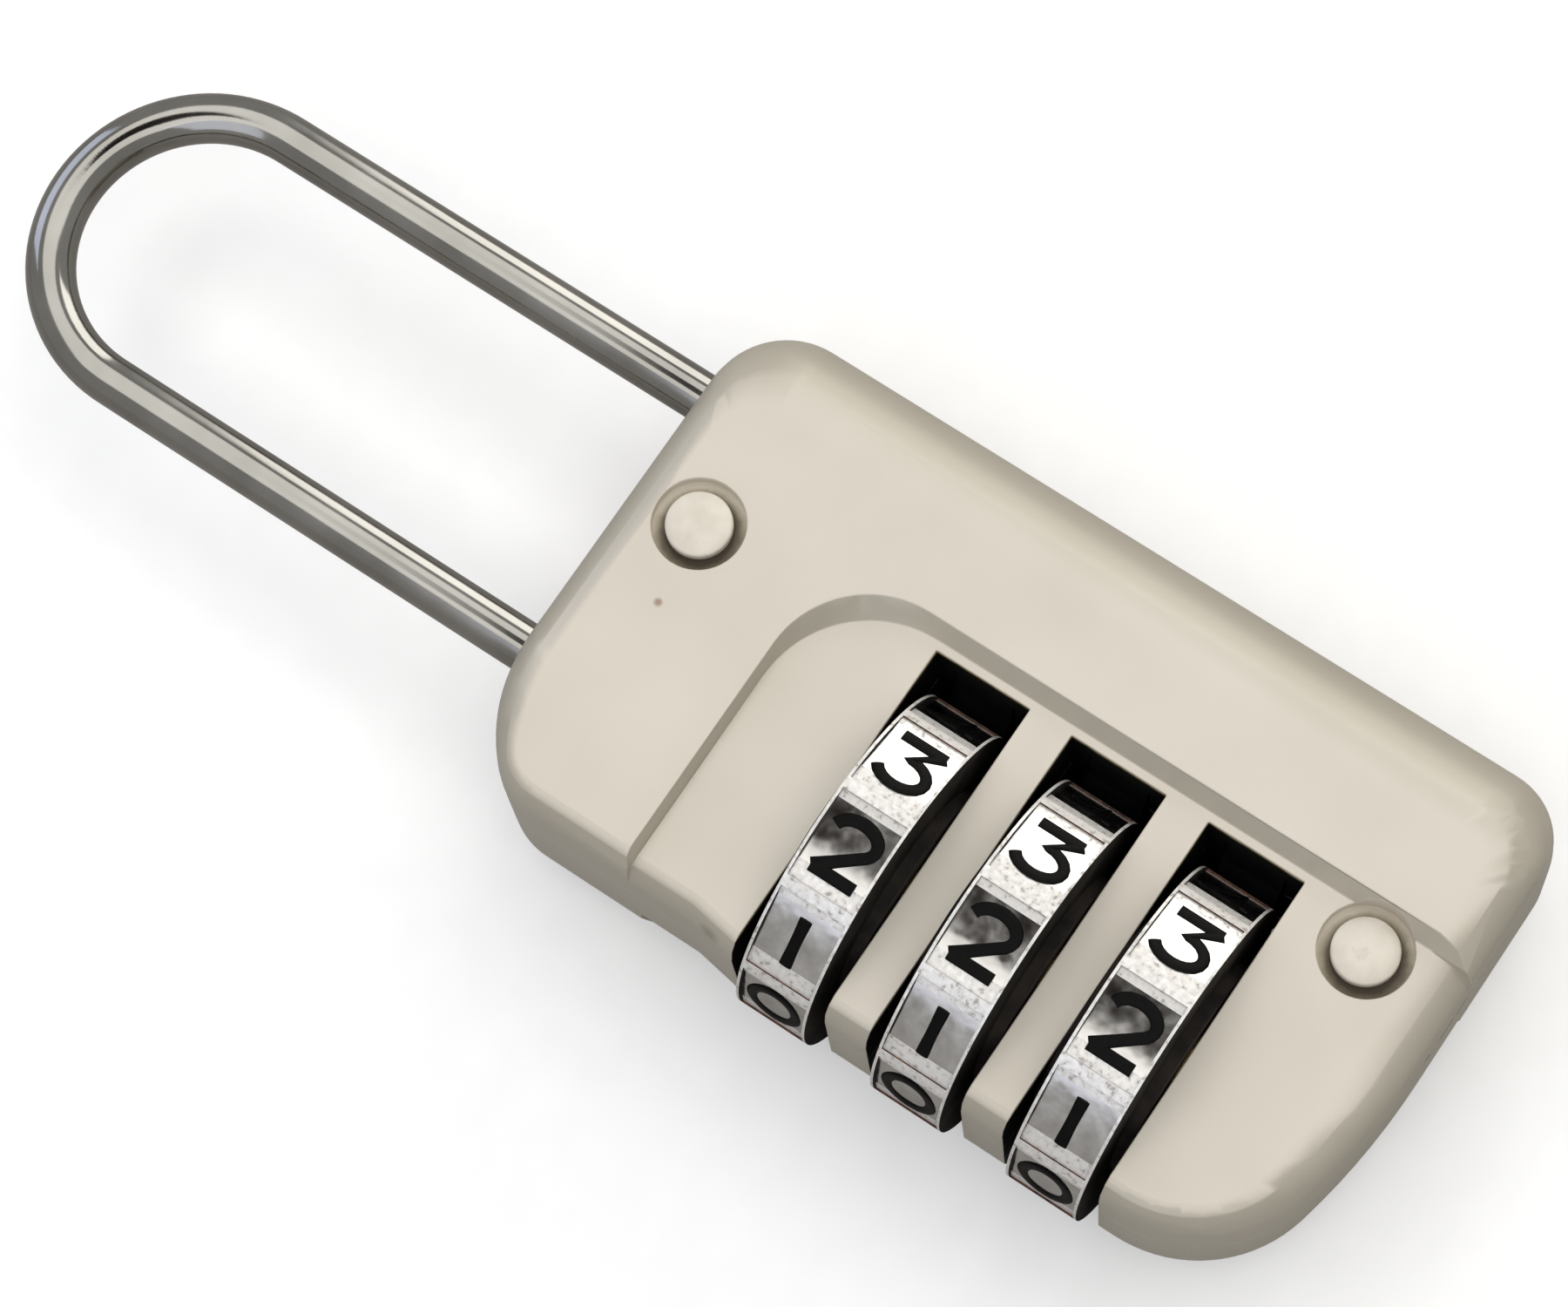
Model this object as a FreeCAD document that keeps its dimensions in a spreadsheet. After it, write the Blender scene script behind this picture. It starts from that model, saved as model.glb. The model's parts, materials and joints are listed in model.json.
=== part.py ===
"""Three-dial combination padlock, lying on its back.

Lengths are in millimetres. +Z is the front face, +Y points to the shackle, and +X is to the right
of the front face. The origin is on the back plane, in the middle of the lock's whole length.
The long leg of the shackle is also the spindle of the three dials.
"""
import FreeCAD, Part
import itertools
import math
import os
import Sketcher

doc = FreeCAD.newDocument("combination_padlock")
sheet = doc.addObject("Spreadsheet::Sheet", "Sizes")
V = FreeCAD.Vector


class Size:
    """A length or count that knows its value and the expression that gives it from the sheet."""

    def __init__(self, value, text):
        self.value = float(value)
        self.text = text

    @staticmethod
    def of(other):
        return other if isinstance(other, Size) else Size(other, repr(other))

    def __add__(self, other):
        other = Size.of(other)
        return Size(self.value + other.value, f"({self.text} + {other.text})")

    def __sub__(self, other):
        other = Size.of(other)
        return Size(self.value - other.value, f"({self.text} - {other.text})")

    def __mul__(self, other):
        other = Size.of(other)
        return Size(self.value * other.value, f"({self.text} * {other.text})")

    def __truediv__(self, other):
        other = Size.of(other)
        return Size(self.value / other.value, f"({self.text} / {other.text})")

    def __neg__(self):
        return Size(-self.value, f"(0 - {self.text})")


rows = itertools.count(1)


def size(alias, value, meaning):
    """One row of the sheet: the meaning in column A and the number, with its alias, in column B."""
    row = next(rows)
    cell = f"B{row}"
    sheet.set(f"A{row}", meaning)
    sheet.set(cell, str(value))
    sheet.setAlias(cell, alias)
    return Size(value, f"Sizes.{alias}")


ZERO = Size(0, "0")

# Case
case_width = size("case_width", 27.8, "case, side to side, above the dials")
above_dials = size("above_dials", 20.15, "case, from the shackle end to the middle of the upper dial")
below_dials = size("below_dials", 11.55, "case, from the middle of the lower dial to the far end")
case_depth = size("case_depth", 14.2, "case, back face to front face")
face_step = size("face_step", 1.0, "drop from the raised face to the dial field, front and back")
side_slope = size("side_slope", 0.7, "run of the wall between the two faces, beside the dials")
end_slope = size("end_slope", 0.25, "run of the wall between the two faces, above the dials")
field_right = size("field_right", 3.6, "right end of the dial field, from the middle of the case")
field_top = size("field_top", 8.85, "top of the dial field, above the middle of the upper dial")
field_radius = size("field_radius", 6.0, "inside corner of the dial field")
dial_bulge = size("dial_bulge", 0.5, "left side, how far it swells beside the dials")
bulge_start = size("bulge_start", 5.35, "where the swelling begins, above the middle of the upper dial")
bulge_run = size("bulge_run", 3.0, "length over which it swells")
top_right_radius = size("top_right_radius", 4.2, "case corner")
bottom_right_radius = size("bottom_right_radius", 3.6, "case corner")
shoulder_width = size("shoulder_width", 7.4, "top left corner, along the end")
shoulder_height = size("shoulder_height", 5.6, "top left corner, along the side")
shoulder_radius = size("shoulder_radius", 0.7, "top left corner, tight arc as a share of the height")
sweep_width = size("sweep_width", 14.0, "bottom left corner, along the end")
sweep_height = size("sweep_height", 8.0, "bottom left corner, along the side")
sweep_radius = size("sweep_radius", 0.9, "bottom left corner, tight arc as a share of the height")
left_bevel = size("left_bevel", 1.0, "rounding of the front at the left side, width")
right_bevel = size("right_bevel", 5.0, "rounding of the front at the right side, width")
top_bevel = size("top_bevel", 2.5, "rounding of the front at the shackle end, width")
bottom_bevel = size("bottom_bevel", 2.3, "rounding of the front at the far end, width")
bevel_drop = size("bevel_drop", 2.1, "rounding of the front at the left side and far end, depth")
deep_drop = size("deep_drop", 5.5, "rounding of the front at the right side and shackle end, depth")
corner_share = size("corner_share", 0.55, "how fast a corner tightens as the rounding goes in")
back_bevel = size("back_bevel", 2.0, "rounding of the back, width")
back_drop = size("back_drop", 4.0, "rounding of the back, depth")

# Shackle
rod_radius = size("rod_radius", 1.27, "shackle rod")
heel_from_middle = size("heel_from_middle", 6.6, "long leg and dial axis, left of the middle")
leg_spacing = size("leg_spacing", 15.3, "between the axes of the two legs")
shackle_rise = size("shackle_rise", 34.3, "top of the shackle above the case, closed")
toe_reach = size("toe_reach", 5.0, "short leg inside the case, closed")
tip_chamfer = size("tip_chamfer", 0.3, "end of each leg")
running_gap = size("running_gap", 0.05, "radial gap of each turning or sliding fit")
socket_gap = size("socket_gap", 0.1, "radial gap round the short leg, and under it")

# Dials
dial_proud = size("dial_proud", 3.15, "dials above the front face")
dial_pitch = size("dial_pitch", 7.65, "from one dial to the next")
web_width = size("web_width", 2.35, "web of the case between two dial slots")
rim_gap = size("rim_gap", 0.7, "each side of a dial's rim, along the axis")
slot_right = size("slot_right", 3.15, "right end of the dial slots, from the middle of the case")
floor_gap = size("floor_gap", 0.05, "dials above the back plane")
hub_gap = size("hub_gap", 0.1, "each side of a dial's hub, along the axis")
hub_radius = size("hub_radius", 5.7, "dial hub")
rim_edge = size("rim_edge", 0.15, "rim left beside a number window")
window_depth = size("window_depth", 0.45, "number window, at its middle")
window_length = size("window_length", 4.75, "number window, round the dial")
ROUNDING_STEPS = 3  # flat runs that a rounded edge of the front is made from
BACK_STEPS = 2  # flat runs that the rounded edge of the back is made from
COIL_POINTS = 8  # straight runs in one turn of a spring
RESET_TURNS = 3
LIFT_TURNS = 6
DIALS = 3
DIGITS = 10
DIAL_PHASE = -9.8  # degrees from the front normal to the digit at the reading line
CLICK_WINDOW = 3  # the window that the click spring rests in, counted from that digit

# Tumblers: the sleeves that carry the dials and hold the shackle
web_cover = size("web_cover", 1.25, "case over the tumbler ends, in its webs")
bearing_step = size("bearing_step", 0.4, "tumbler body above its ends")
chamber_wall = size("chamber_wall", 0.4, "tumbler wall round its chamber")
key_height = size("key_height", 0.7, "tumbler key above the body")
key_width = size("key_width", 0.95, "tumbler key")
key_length = size("key_length", 0.9, "tumbler key, along the axis")
notch_floor = size("notch_floor", 0.3, "end of the key notches, from the middle of the dial")
reset_travel = size("reset_travel", 1.0, "tumblers, down to free their keys")
fin_width = size("fin_width", 1.3, "fin of the shackle, across")
fin_length = size("fin_length", 1.4, "fin of the shackle, along the rod")
fin_gap = size("fin_gap", 0.2, "round a fin in its gate and chamber")
end_gap = size("end_gap", 0.05, "between the ends of neighbours on the spindle")

# Springs, washers and rivets
washer_thickness = size("washer_thickness", 0.5, "stop washer and reset washer")
reset_spring_length = size("reset_spring_length", 3.0, "reset spring as fitted")
reset_wire = size("reset_wire", 0.5, "reset spring wire, diameter")
lift_wire = size("lift_wire", 0.3, "lift spring wire, diameter")
floor_wall = size("floor_wall", 1.8, "case below the lift spring")
guide_radius = size("guide_radius", 0.65, "pin inside the lift spring")
guide_reach = size("guide_reach", 2.6, "guide pin, inside the spring")
guide_foot = size("guide_foot", 0.9, "guide pin, in the case")
leaf_thickness = size("leaf_thickness", 0.25, "click spring")
leaf_width = size("leaf_width", 3.2, "click spring, along the axis")
leaf_span = size("leaf_span", 7.6, "click spring, end to end")
leaf_bend = size("leaf_bend", 2.1, "click spring, from its middle to the bend of each arm")
leaf_nose = size("leaf_nose", 0.23, "click spring, half of the flat of its nose")
leaf_seat = size("leaf_seat", 0.35, "seat of the click spring in the wall")
rivet_x = size("rivet_x", 1.95, "rivets, right of the middle")
upper_rivet_end = size("upper_rivet_end", 4.7, "upper rivet, from the end of the case")
lower_rivet_end = size("lower_rivet_end", 4.8, "lower rivet, from the end of the case")
rivet_shank = size("rivet_shank", 1.3, "rivet shank, radius")
rivet_disc = size("rivet_disc", 1.65, "closed end of the rivet on the front, radius")
rivet_head = size("rivet_head", 2.1, "rivet head at the back, radius")
rivet_seat = size("rivet_seat", 2.3, "recess round each rivet end, radius")
seat_depth = size("seat_depth", 0.6, "recess round each rivet end")
disc_crown = size("disc_crown", 0.25, "doming of the rivet ends")
overshoot = size("overshoot", 1, "how far a cut runs past the face it opens")
doc.recompute()

# Places worked out from the sizes
middle_y = -(shackle_rise / 2)
case_length = above_dials + dial_pitch * (DIALS - 1) + below_dials
first_dial = case_length / 2 - above_dials
case_top = middle_y + case_length / 2
case_bottom = middle_y - case_length / 2
case_left = -(case_width / 2)
axis_x = -heel_from_middle
dial_radius = (case_depth + dial_proud - floor_gap) / 2
axis_z = dial_radius + floor_gap
toe_x = axis_x + leg_spacing
slot_width = dial_pitch - web_width
dial_width = slot_width - rim_gap * 2
journal_radius = case_depth - face_step - axis_z - web_cover - running_gap
tumbler_radius = journal_radius + bearing_step
tumbler_length = dial_pitch - end_gap
half_tumbler = tumbler_length / 2
chamber_length = fin_length + fin_gap * 2 + reset_travel
chamber_radius = journal_radius - chamber_wall
fin_reach = chamber_radius - fin_gap
bore_radius = rod_radius + running_gap
journal_bore = journal_radius + running_gap
shackle_lift = dial_pitch


def dial_y(number):
    """Middle of a dial, counted from 0 at the shackle end."""
    return middle_y + first_dial - dial_pitch * number


def bind(thing, **sizes):
    """Ties properties of an object to the sheet."""
    for name, value in sizes.items():
        thing.setExpression(name, Size.of(value).text)


def place(thing, x=ZERO, y=ZERO, z=ZERO, turn=None):
    """Places an object; turn is a rotation about the origin before the move."""
    if turn is not None:
        thing.Placement = FreeCAD.Placement(V(), turn)
    for letter, value in zip("xyz", (x, y, z)):
        thing.setExpression(f"Placement.Base.{letter}", Size.of(value).text)
    return thing


ALONG_Y = FreeCAD.Rotation(V(1, 0, 0), -90)


def box(name, low, high):
    """A block between two corners."""
    made = doc.addObject("Part::Box", name)
    bind(made, Length=high[0] - low[0], Width=high[1] - low[1], Height=high[2] - low[2])
    return place(made, *low)


def rod_y(name, radius, start, end, x=axis_x, z=axis_z):
    """A cylinder along Y, from start to end."""
    made = doc.addObject("Part::Cylinder", name)
    bind(made, Radius=radius, Height=end - start)
    return place(made, x, start, z, ALONG_Y)


def rod_z(name, radius, x, y, low, high):
    """A cylinder along Z."""
    made = doc.addObject("Part::Cylinder", name)
    bind(made, Radius=radius, Height=high - low)
    return place(made, x, y, low)


def fused(name, pieces):
    """Several shapes in one."""
    made = doc.addObject("Part::MultiFuse", name)
    made.Shapes = pieces
    return made


def common(name, pieces):
    """What several shapes share."""
    made = doc.addObject("Part::MultiCommon", name)
    made.Shapes = pieces
    return made


def cut(name, base, tool):
    """One shape without another."""
    made = doc.addObject("Part::Cut", name)
    made.Base = base
    made.Tool = tool
    return made


def new_body(name):
    """An empty body, in which sketches and their features follow each other."""
    return doc.addObject("PartDesign::Body", name)


def sketch_on(body, name, plane, height=None):
    """A sketch on one of the body's own origin planes, raised along its normal."""
    made = body.newObject("Sketcher::SketchObject", name)
    planes = {feature.Role: feature for feature in body.Origin.OriginFeatures}
    made.AttachmentSupport = (planes[plane], [""])
    made.MapMode = "FlatFace"
    if height is not None:
        made.setExpression("AttachmentOffset.Base.z", height.text)
    return made


def closed_profile(sketch, corners):
    """Draws a closed outline from corners (x, y) or (x, y, radius, side).

    With a radius, the edge that leaves the corner is an arc: side is 1 where its centre lies to
    the left of the way round, and -1 where it lies to the right.
    """
    count = len(corners)
    for index, corner in enumerate(corners):
        following = corners[(index + 1) % count]
        start = V(corner[0].value, corner[1].value, 0)
        end = V(following[0].value, following[1].value, 0)
        if len(corner) == 2:
            sketch.addGeometry(Part.LineSegment(start, end), False)
            continue
        radius, side = corner[2].value, corner[3]
        chord = end - start
        rise = math.sqrt(max(radius ** 2 - (chord.Length / 2) ** 2, 0))
        left = V(-chord.y, chord.x, 0).normalize()
        centre = (start + end) / 2 + left * (rise * side)
        first, last = (start, end) if side > 0 else (end, start)
        angles = [math.atan2(p.y - centre.y, p.x - centre.x) for p in (first, last)]
        circle = Part.Circle(centre, V(0, 0, 1), radius)
        sketch.addGeometry(Part.ArcOfCircle(circle, angles[0], angles[1]), False)

    def ends(index):
        """The point numbers of an edge's start and end, in the order of the corners."""
        reversed_arc = len(corners[index]) > 2 and corners[index][3] < 0
        return (2, 1) if reversed_arc else (1, 2)

    for index in range(count):
        before = (index - 1) % count
        joint = Sketcher.Constraint("Coincident", before, ends(before)[1], index, ends(index)[0])
        sketch.addConstraint(joint)
    for index, corner in enumerate(corners):
        for kind, value in zip(("DistanceX", "DistanceY"), corner[:2]):
            number = sketch.addConstraint(
                Sketcher.Constraint(kind, -1, 1, index, ends(index)[0], value.value)
            )
            sketch.setExpression(f"Constraints[{number}]", value.text)
        if len(corner) > 2:
            number = sketch.addConstraint(Sketcher.Constraint("Radius", index, corner[2].value))
            sketch.setExpression(f"Constraints[{number}]", corner[2].text)
    return sketch


def pad(body, sketch, name, length, midplane=False):
    """Raises a sketch into a solid, along its normal or to both sides of it."""
    made = body.newObject("PartDesign::Pad", name)
    made.Profile = sketch
    made.Midplane = midplane
    bind(made, Length=length)
    return made


class Sweep:
    """A corner of two arcs that touch: a tight one at the side and a wide one along the end.

    It keeps the proportion of the tight arc to the height when the corner is drawn smaller.
    """

    def __init__(self, width, height, tightness):
        self.width, self.height = width, height
        self.tight = height * tightness
        across = width - self.tight
        self.wide = (across * across + height * height - self.tight * self.tight) / (
            (height - self.tight) * 2
        )
        share = self.tight / (self.wide - self.tight)
        self.meet_x = self.tight - across * share
        self.meet_y = height - (self.wide - height) * share


def case_outline(left, right, top, bottom):
    """Corners of the case outline, drawn in from the full outline by a width at each side."""
    x_right = case_width / 2 - right
    x_left = -(case_width / 2) + left
    x_swollen = x_left - dial_bulge
    y_top = case_length / 2 - top
    y_bottom = -(case_length / 2) + bottom
    corner_top = top_right_radius - top * corner_share
    corner_bottom = bottom_right_radius - bottom * corner_share
    upper = Sweep(shoulder_width - left, shoulder_height - top, shoulder_radius)
    lower = Sweep(sweep_width - left, sweep_height - bottom, sweep_radius)
    return [
        (x_right, y_bottom + corner_bottom),
        (x_right, y_top - corner_top, corner_top, 1),
        (x_right - corner_top, y_top),
        (x_left + upper.width, y_top, upper.wide, 1),
        (x_left + upper.meet_x, y_top - upper.meet_y, upper.tight, 1),
        (x_left, y_top - upper.height),
        (x_left, first_dial + bulge_start),
        (x_swollen, first_dial + bulge_start - bulge_run),
        (x_swollen, y_bottom + lower.height, lower.tight, 1),
        (x_swollen + lower.meet_x, y_bottom + lower.meet_y, lower.wide, 1),
        (x_swollen + lower.width, y_bottom),
        (x_right - corner_bottom, y_bottom, corner_bottom, 1),
    ]


def quarter_round(depth):
    """How far an elliptic edge has gone in, as a share of its width; depth is a share too."""
    return round(1 - math.sqrt(1 - max(1 - depth, 0) ** 2), 4)


def front_levels():
    """Depths below the front at which its rounded edges are drawn, from the lowest up."""
    steps = [math.radians(90 * step / ROUNDING_STEPS) for step in range(ROUNDING_STEPS + 1)]
    return [(deep_drop.value + bevel_drop.value) / 2] + [
        round(bevel_drop.value * (1 - math.sin(angle)), 4) for angle in steps
    ]


def case_form(name, inset):
    """The solid form of the case; inset lowers both faces, as in the dial field."""
    front, back = case_depth - inset, inset
    body = new_body(name)

    def outline(level, height, widths):
        drawn = sketch_on(body, f"{name}_{level}", "XY_Plane", height)
        return closed_profile(drawn, case_outline(*widths))

    def loft(level, outlines):
        made = body.newObject("PartDesign::AdditiveLoft", f"{name}_{level}_loft")
        made.Profile = outlines[0]
        made.Sections = outlines[1:]
        made.Ruled = True

    full = (ZERO,) * 4
    waist = outline("waist", back + back_drop, full)
    pad(body, waist, f"{name}_waist_pad", front - deep_drop - back - back_drop)
    rounds = [outline("round_foot", front - deep_drop, full)]
    for level, below in enumerate(front_levels()):
        deep = quarter_round(below / deep_drop.value)
        shallow = quarter_round(below / bevel_drop.value)
        widths = (left_bevel * shallow, right_bevel * deep, top_bevel * deep, bottom_bevel * shallow)
        rounds.append(outline(f"round_{level}", front - below, widths))
    loft("front", rounds)
    backs = []
    for step in range(BACK_STEPS + 1):
        angle = math.radians(90 * step / BACK_STEPS)
        height = back + back_drop * (1 - round(math.sin(angle), 4))
        backs.append(outline(f"back_{step}", height, (back_bevel * (1 - round(math.cos(angle), 4)),) * 4))
    loft("back", backs)
    return place(body, y=middle_y)


def raised_face(name):
    """The L of raised face: a strip at the shackle end and one down the right side."""

    def corners(end_off, side_off):
        top, right = first_dial + field_top + end_off, field_right + side_off
        radius = field_radius - side_off
        return [
            (-case_width, top),
            (right - radius, top, radius, -1),
            (right, top - radius),
            (right, -case_length),
            (case_width, -case_length),
            (case_width, case_length),
            (-case_width, case_length),
        ]

    body = new_body(name)
    foot = sketch_on(body, f"{name}_foot", "XY_Plane", case_depth - face_step)
    closed_profile(foot, corners(ZERO, ZERO))
    edge = sketch_on(body, f"{name}_edge", "XY_Plane", case_depth)
    closed_profile(edge, corners(end_slope, side_slope))
    loft = body.newObject("PartDesign::AdditiveLoft", f"{name}_loft")
    loft.Profile = foot
    loft.Sections = [edge]
    loft.Ruled = True
    root = pad(body, foot, f"{name}_root", case_depth / 2 - face_step)
    root.Reversed = True
    return place(body, y=middle_y)


def case_blank():
    """The outer form of the case, front and back halves together, without its holes."""
    full = case_form("full_form", ZERO)
    low = case_form("low_form", face_step)
    front = raised_face("raised_face")
    back = doc.addObject("Part::Mirroring", "raised_back")
    back.Source = front
    back.Normal = V(0, 0, 1)
    back.setExpression("Base.z", (case_depth / 2).text)
    raised = [common("raised_front_part", [full, front]), common("raised_back_part", [full, back])]
    made = fused("case_blank", [low] + raised)
    made.Refine = True
    return made


def dial_slots():
    """The three slots, open to the front, the back and the left side."""
    body = new_body("dial_slots")
    half = slot_width / 2
    left = case_left - dial_bulge - overshoot
    corners = [(left, -half), (slot_right, -half), (slot_right, half), (left, half)]
    sketch = closed_profile(sketch_on(body, "dial_slot_sketch", "XY_Plane"), corners)
    pad(body, sketch, "dial_slot_pad", case_depth)
    pattern = body.newObject("PartDesign::LinearPattern", "dial_slot_pattern")
    pattern.Originals = [body.Tip]
    planes = {feature.Role: feature for feature in body.Origin.OriginFeatures}
    pattern.Direction = (planes["Y_Axis"], [""])
    pattern.Reversed = True
    pattern.Occurrences = DIALS
    bind(pattern, Length=dial_pitch * (DIALS - 1))
    body.Tip = pattern
    return place(body, y=dial_y(0))


# Places along the spindle, from the shackle end down
stop_face = dial_y(0) - half_tumbler + fin_gap + fin_length + shackle_lift + end_gap
stop_seat = stop_face + washer_thickness
reset_top = dial_y(DIALS - 1) - half_tumbler - end_gap
reset_bottom = reset_top - washer_thickness
spindle_floor = reset_bottom - reset_spring_length
heel_end = reset_bottom - fin_gap
lift_floor = case_bottom + floor_wall
lift_spring_length = heel_end - lift_floor


def spindle_holes():
    """Everything that is bored round the dial axis."""
    toe_floor = case_top - toe_reach - socket_gap
    return [
        rod_y("heel_hole", bore_radius, stop_seat, case_top + overshoot),
        rod_y("tumbler_bore", journal_bore, spindle_floor, stop_seat),
        rod_y("lift_spring_bore", bore_radius, lift_floor, spindle_floor),
        rod_y("guide_pin_hole", guide_radius, lift_floor - guide_foot, lift_floor),
        rod_y("toe_hole", rod_radius + socket_gap, toe_floor, case_top + overshoot, toe_x),
    ]


def rivet_inset(upper):
    """How far the faces are lowered where a rivet stands."""
    return ZERO if upper else face_step


def rivet_place(upper):
    """Where a rivet stands along the case."""
    return case_top - upper_rivet_end if upper else case_bottom + lower_rivet_end


def rivet_holes(name, upper):
    """The hole of one rivet, with its recess in the front and in the back."""
    y = rivet_place(upper)
    inset = rivet_inset(upper)
    front, back = case_depth - inset, inset
    return [
        rod_z(f"{name}_hole", rivet_shank, rivet_x, y, back, front),
        rod_z(f"{name}_front_seat", rivet_seat, rivet_x, y, front - seat_depth, case_depth + overshoot),
        rod_z(f"{name}_back_seat", rivet_seat, rivet_x, y, -overshoot, back + seat_depth),
    ]


# The click spring presses on the middle of a number window
click_angle = math.radians(DIAL_PHASE + CLICK_WINDOW * 360 / DIGITS)
leaf_middle_z = axis_z + (dial_radius - window_depth) * math.cos(click_angle)
nose_reach = (dial_radius - window_depth) * math.sin(click_angle) + running_gap


def leaf_seats():
    """A shallow seat for each click spring in the right end of its slot."""
    pieces = []
    half_width = leaf_width / 2 + hub_gap
    half_span = leaf_span / 2 + hub_gap
    for number in range(DIALS):
        y = dial_y(number)
        low = (slot_right - leaf_seat, y - half_width, leaf_middle_z - half_span)
        high = (slot_right + leaf_seat, y + half_width, leaf_middle_z + half_span)
        pieces.append(box(f"leaf_seat_{number + 1}", low, high))
    return pieces


def cases():
    """The two die-cast halves, which meet in the plane of the dial axis."""
    holes = [dial_slots()] + spindle_holes() + leaf_seats()
    holes += rivet_holes("upper_rivet", True) + rivet_holes("lower_rivet", False)
    whole = cut("case_whole", case_blank(), fused("case_holes", holes))
    reach = case_width
    low = (-reach, case_bottom - overshoot, axis_z)
    high = (reach, case_top + overshoot, case_depth + overshoot)
    front_block = box("front_block", low, high)
    back_block = box("back_block", (low[0], low[1], -overshoot), (high[0], high[1], axis_z))
    return [common("front_case", [whole, front_block]), common("back_case", [whole, back_block])]


def rivet(name, upper):
    """A rivet: flat head at the back, shank through both halves, closed end on the front."""
    inset = rivet_inset(upper)
    grip = case_depth - inset * 2 - seat_depth * 2
    head, disc = seat_depth, seat_depth + disc_crown
    crown = (rivet_disc * rivet_disc + disc_crown * disc_crown) / (disc_crown * 2)
    corners = [
        (ZERO, ZERO),
        (rivet_head, ZERO),
        (rivet_head, head),
        (rivet_shank, head),
        (rivet_shank, head + grip),
        (rivet_disc, head + grip),
        (rivet_disc, head + grip + seat_depth, crown, 1),
        (ZERO, head + grip + disc),
    ]
    body = new_body(name)
    sketch = closed_profile(sketch_on(body, f"{name}_sketch", "XZ_Plane"), corners)
    turned = body.newObject("PartDesign::Revolution", f"{name}_turned")
    turned.Profile = sketch
    turned.ReferenceAxis = (sketch, ["V_Axis"])
    turned.Angle = 360
    return place(body, rivet_x, rivet_place(upper), inset)


def leg(name, x, end, shoulder):
    """A straight leg of the shackle, with its end chamfered."""
    straight = rod_y(f"{name}_rod", rod_radius, end + tip_chamfer, shoulder, x)
    tip = doc.addObject("Part::Cone", f"{name}_tip")
    bind(tip, Radius1=rod_radius - tip_chamfer, Radius2=rod_radius, Height=tip_chamfer)
    return [straight, place(tip, x, end, axis_z, ALONG_Y)]


def shackle():
    """The bent rod, with its three fins on the long leg."""
    half_spacing = leg_spacing / 2
    shoulder = case_top + shackle_rise - rod_radius - half_spacing
    bend = doc.addObject("Part::Torus", "shackle_bend")
    bind(bend, Radius1=half_spacing, Radius2=rod_radius)
    bend.Angle3 = 180
    place(bend, axis_x + half_spacing, shoulder, axis_z)
    pieces = [bend]
    pieces += leg("heel", axis_x, heel_end, shoulder)
    pieces += leg("toe", toe_x, case_top - toe_reach, shoulder)
    for number in range(DIALS):
        start = dial_y(number) - half_tumbler + fin_gap
        low = (axis_x, start, axis_z - fin_width / 2)
        high = (axis_x + fin_reach, start + fin_length, axis_z + fin_width / 2)
        pieces.append(box(f"fin_{number + 1}", low, high))
    made = fused("shackle", pieces)
    made.Refine = True
    return made


def ring_pattern(body, feature, name, count):
    """Repeats a feature round the Y axis of its body."""
    pattern = body.newObject("PartDesign::PolarPattern", name)
    pattern.Originals = [feature]
    planes = {item.Role: item for item in body.Origin.OriginFeatures}
    pattern.Axis = (planes["Y_Axis"], [""])
    pattern.Angle = 360
    pattern.Occurrences = count
    body.Tip = pattern
    return pattern


def revolved(body, name, corners):
    """Turns a profile, drawn as radius and place along the axis, round the Y axis."""
    sketch = closed_profile(sketch_on(body, f"{name}_sketch", "XY_Plane"), corners)
    made = body.newObject("PartDesign::Revolution", name)
    made.Profile = sketch
    made.ReferenceAxis = (sketch, ["V_Axis"])
    made.Angle = 360
    return made


def pocket(body, sketch, name, length):
    """Cuts a sketch out of its body, along the sketch's normal."""
    made = body.newObject("PartDesign::Pocket", name)
    made.Profile = sketch
    made.Reversed = True
    bind(made, Length=length)
    return made


# Places of a tumbler's keys and body, from the middle of its dial
key_start = notch_floor + end_gap
body_bottom = -(slot_width / 2) + reset_travel + hub_gap


def dial(number):
    """A dial: rim with ten number windows, hub, and ten key notches in its bore."""
    name = f"dial_{number + 1}"
    hub = slot_width / 2 - hub_gap
    rim = dial_width / 2
    bore = tumbler_radius + running_gap
    deep = tumbler_radius + key_height + running_gap
    body = new_body(name)
    corners = [
        (deep, -hub),
        (hub_radius, -hub),
        (hub_radius, -rim),
        (dial_radius, -rim),
        (dial_radius, rim),
        (hub_radius, rim),
        (hub_radius, hub),
        (bore, hub),
        (bore, notch_floor),
        (deep, notch_floor),
    ]
    revolved(body, f"{name}_turned", corners)
    half = window_length / 2
    edge = rim - rim_edge
    floor = dial_radius - window_depth
    window = closed_profile(
        sketch_on(body, f"{name}_window", "XY_Plane", floor),
        [(-half, -edge), (half, -edge), (half, edge), (-half, edge)],
    )
    window_cut = pocket(body, window, f"{name}_window_cut", window_depth + overshoot)
    ring_pattern(body, window_cut, f"{name}_windows", DIGITS)
    half_key = key_width / 2 + running_gap
    notch = closed_profile(
        sketch_on(body, f"{name}_notch", "XZ_Plane", -hub),
        [
            (-half_key, ZERO),
            (half_key, ZERO),
            (half_key, deep),
            (-half_key, deep),
        ],
    )
    notch.AttachmentOffset = FreeCAD.Placement(V(), FreeCAD.Rotation(V(0, 0, 1), DIAL_PHASE))
    notch_cut = pocket(body, notch, f"{name}_notch_cut", hub - notch_floor)
    ring_pattern(body, notch_cut, f"{name}_notches", DIGITS)
    turn = FreeCAD.Rotation(V(0, 1, 0), DIAL_PHASE)
    return place(body, axis_x, dial_y(number), axis_z, turn)


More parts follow.
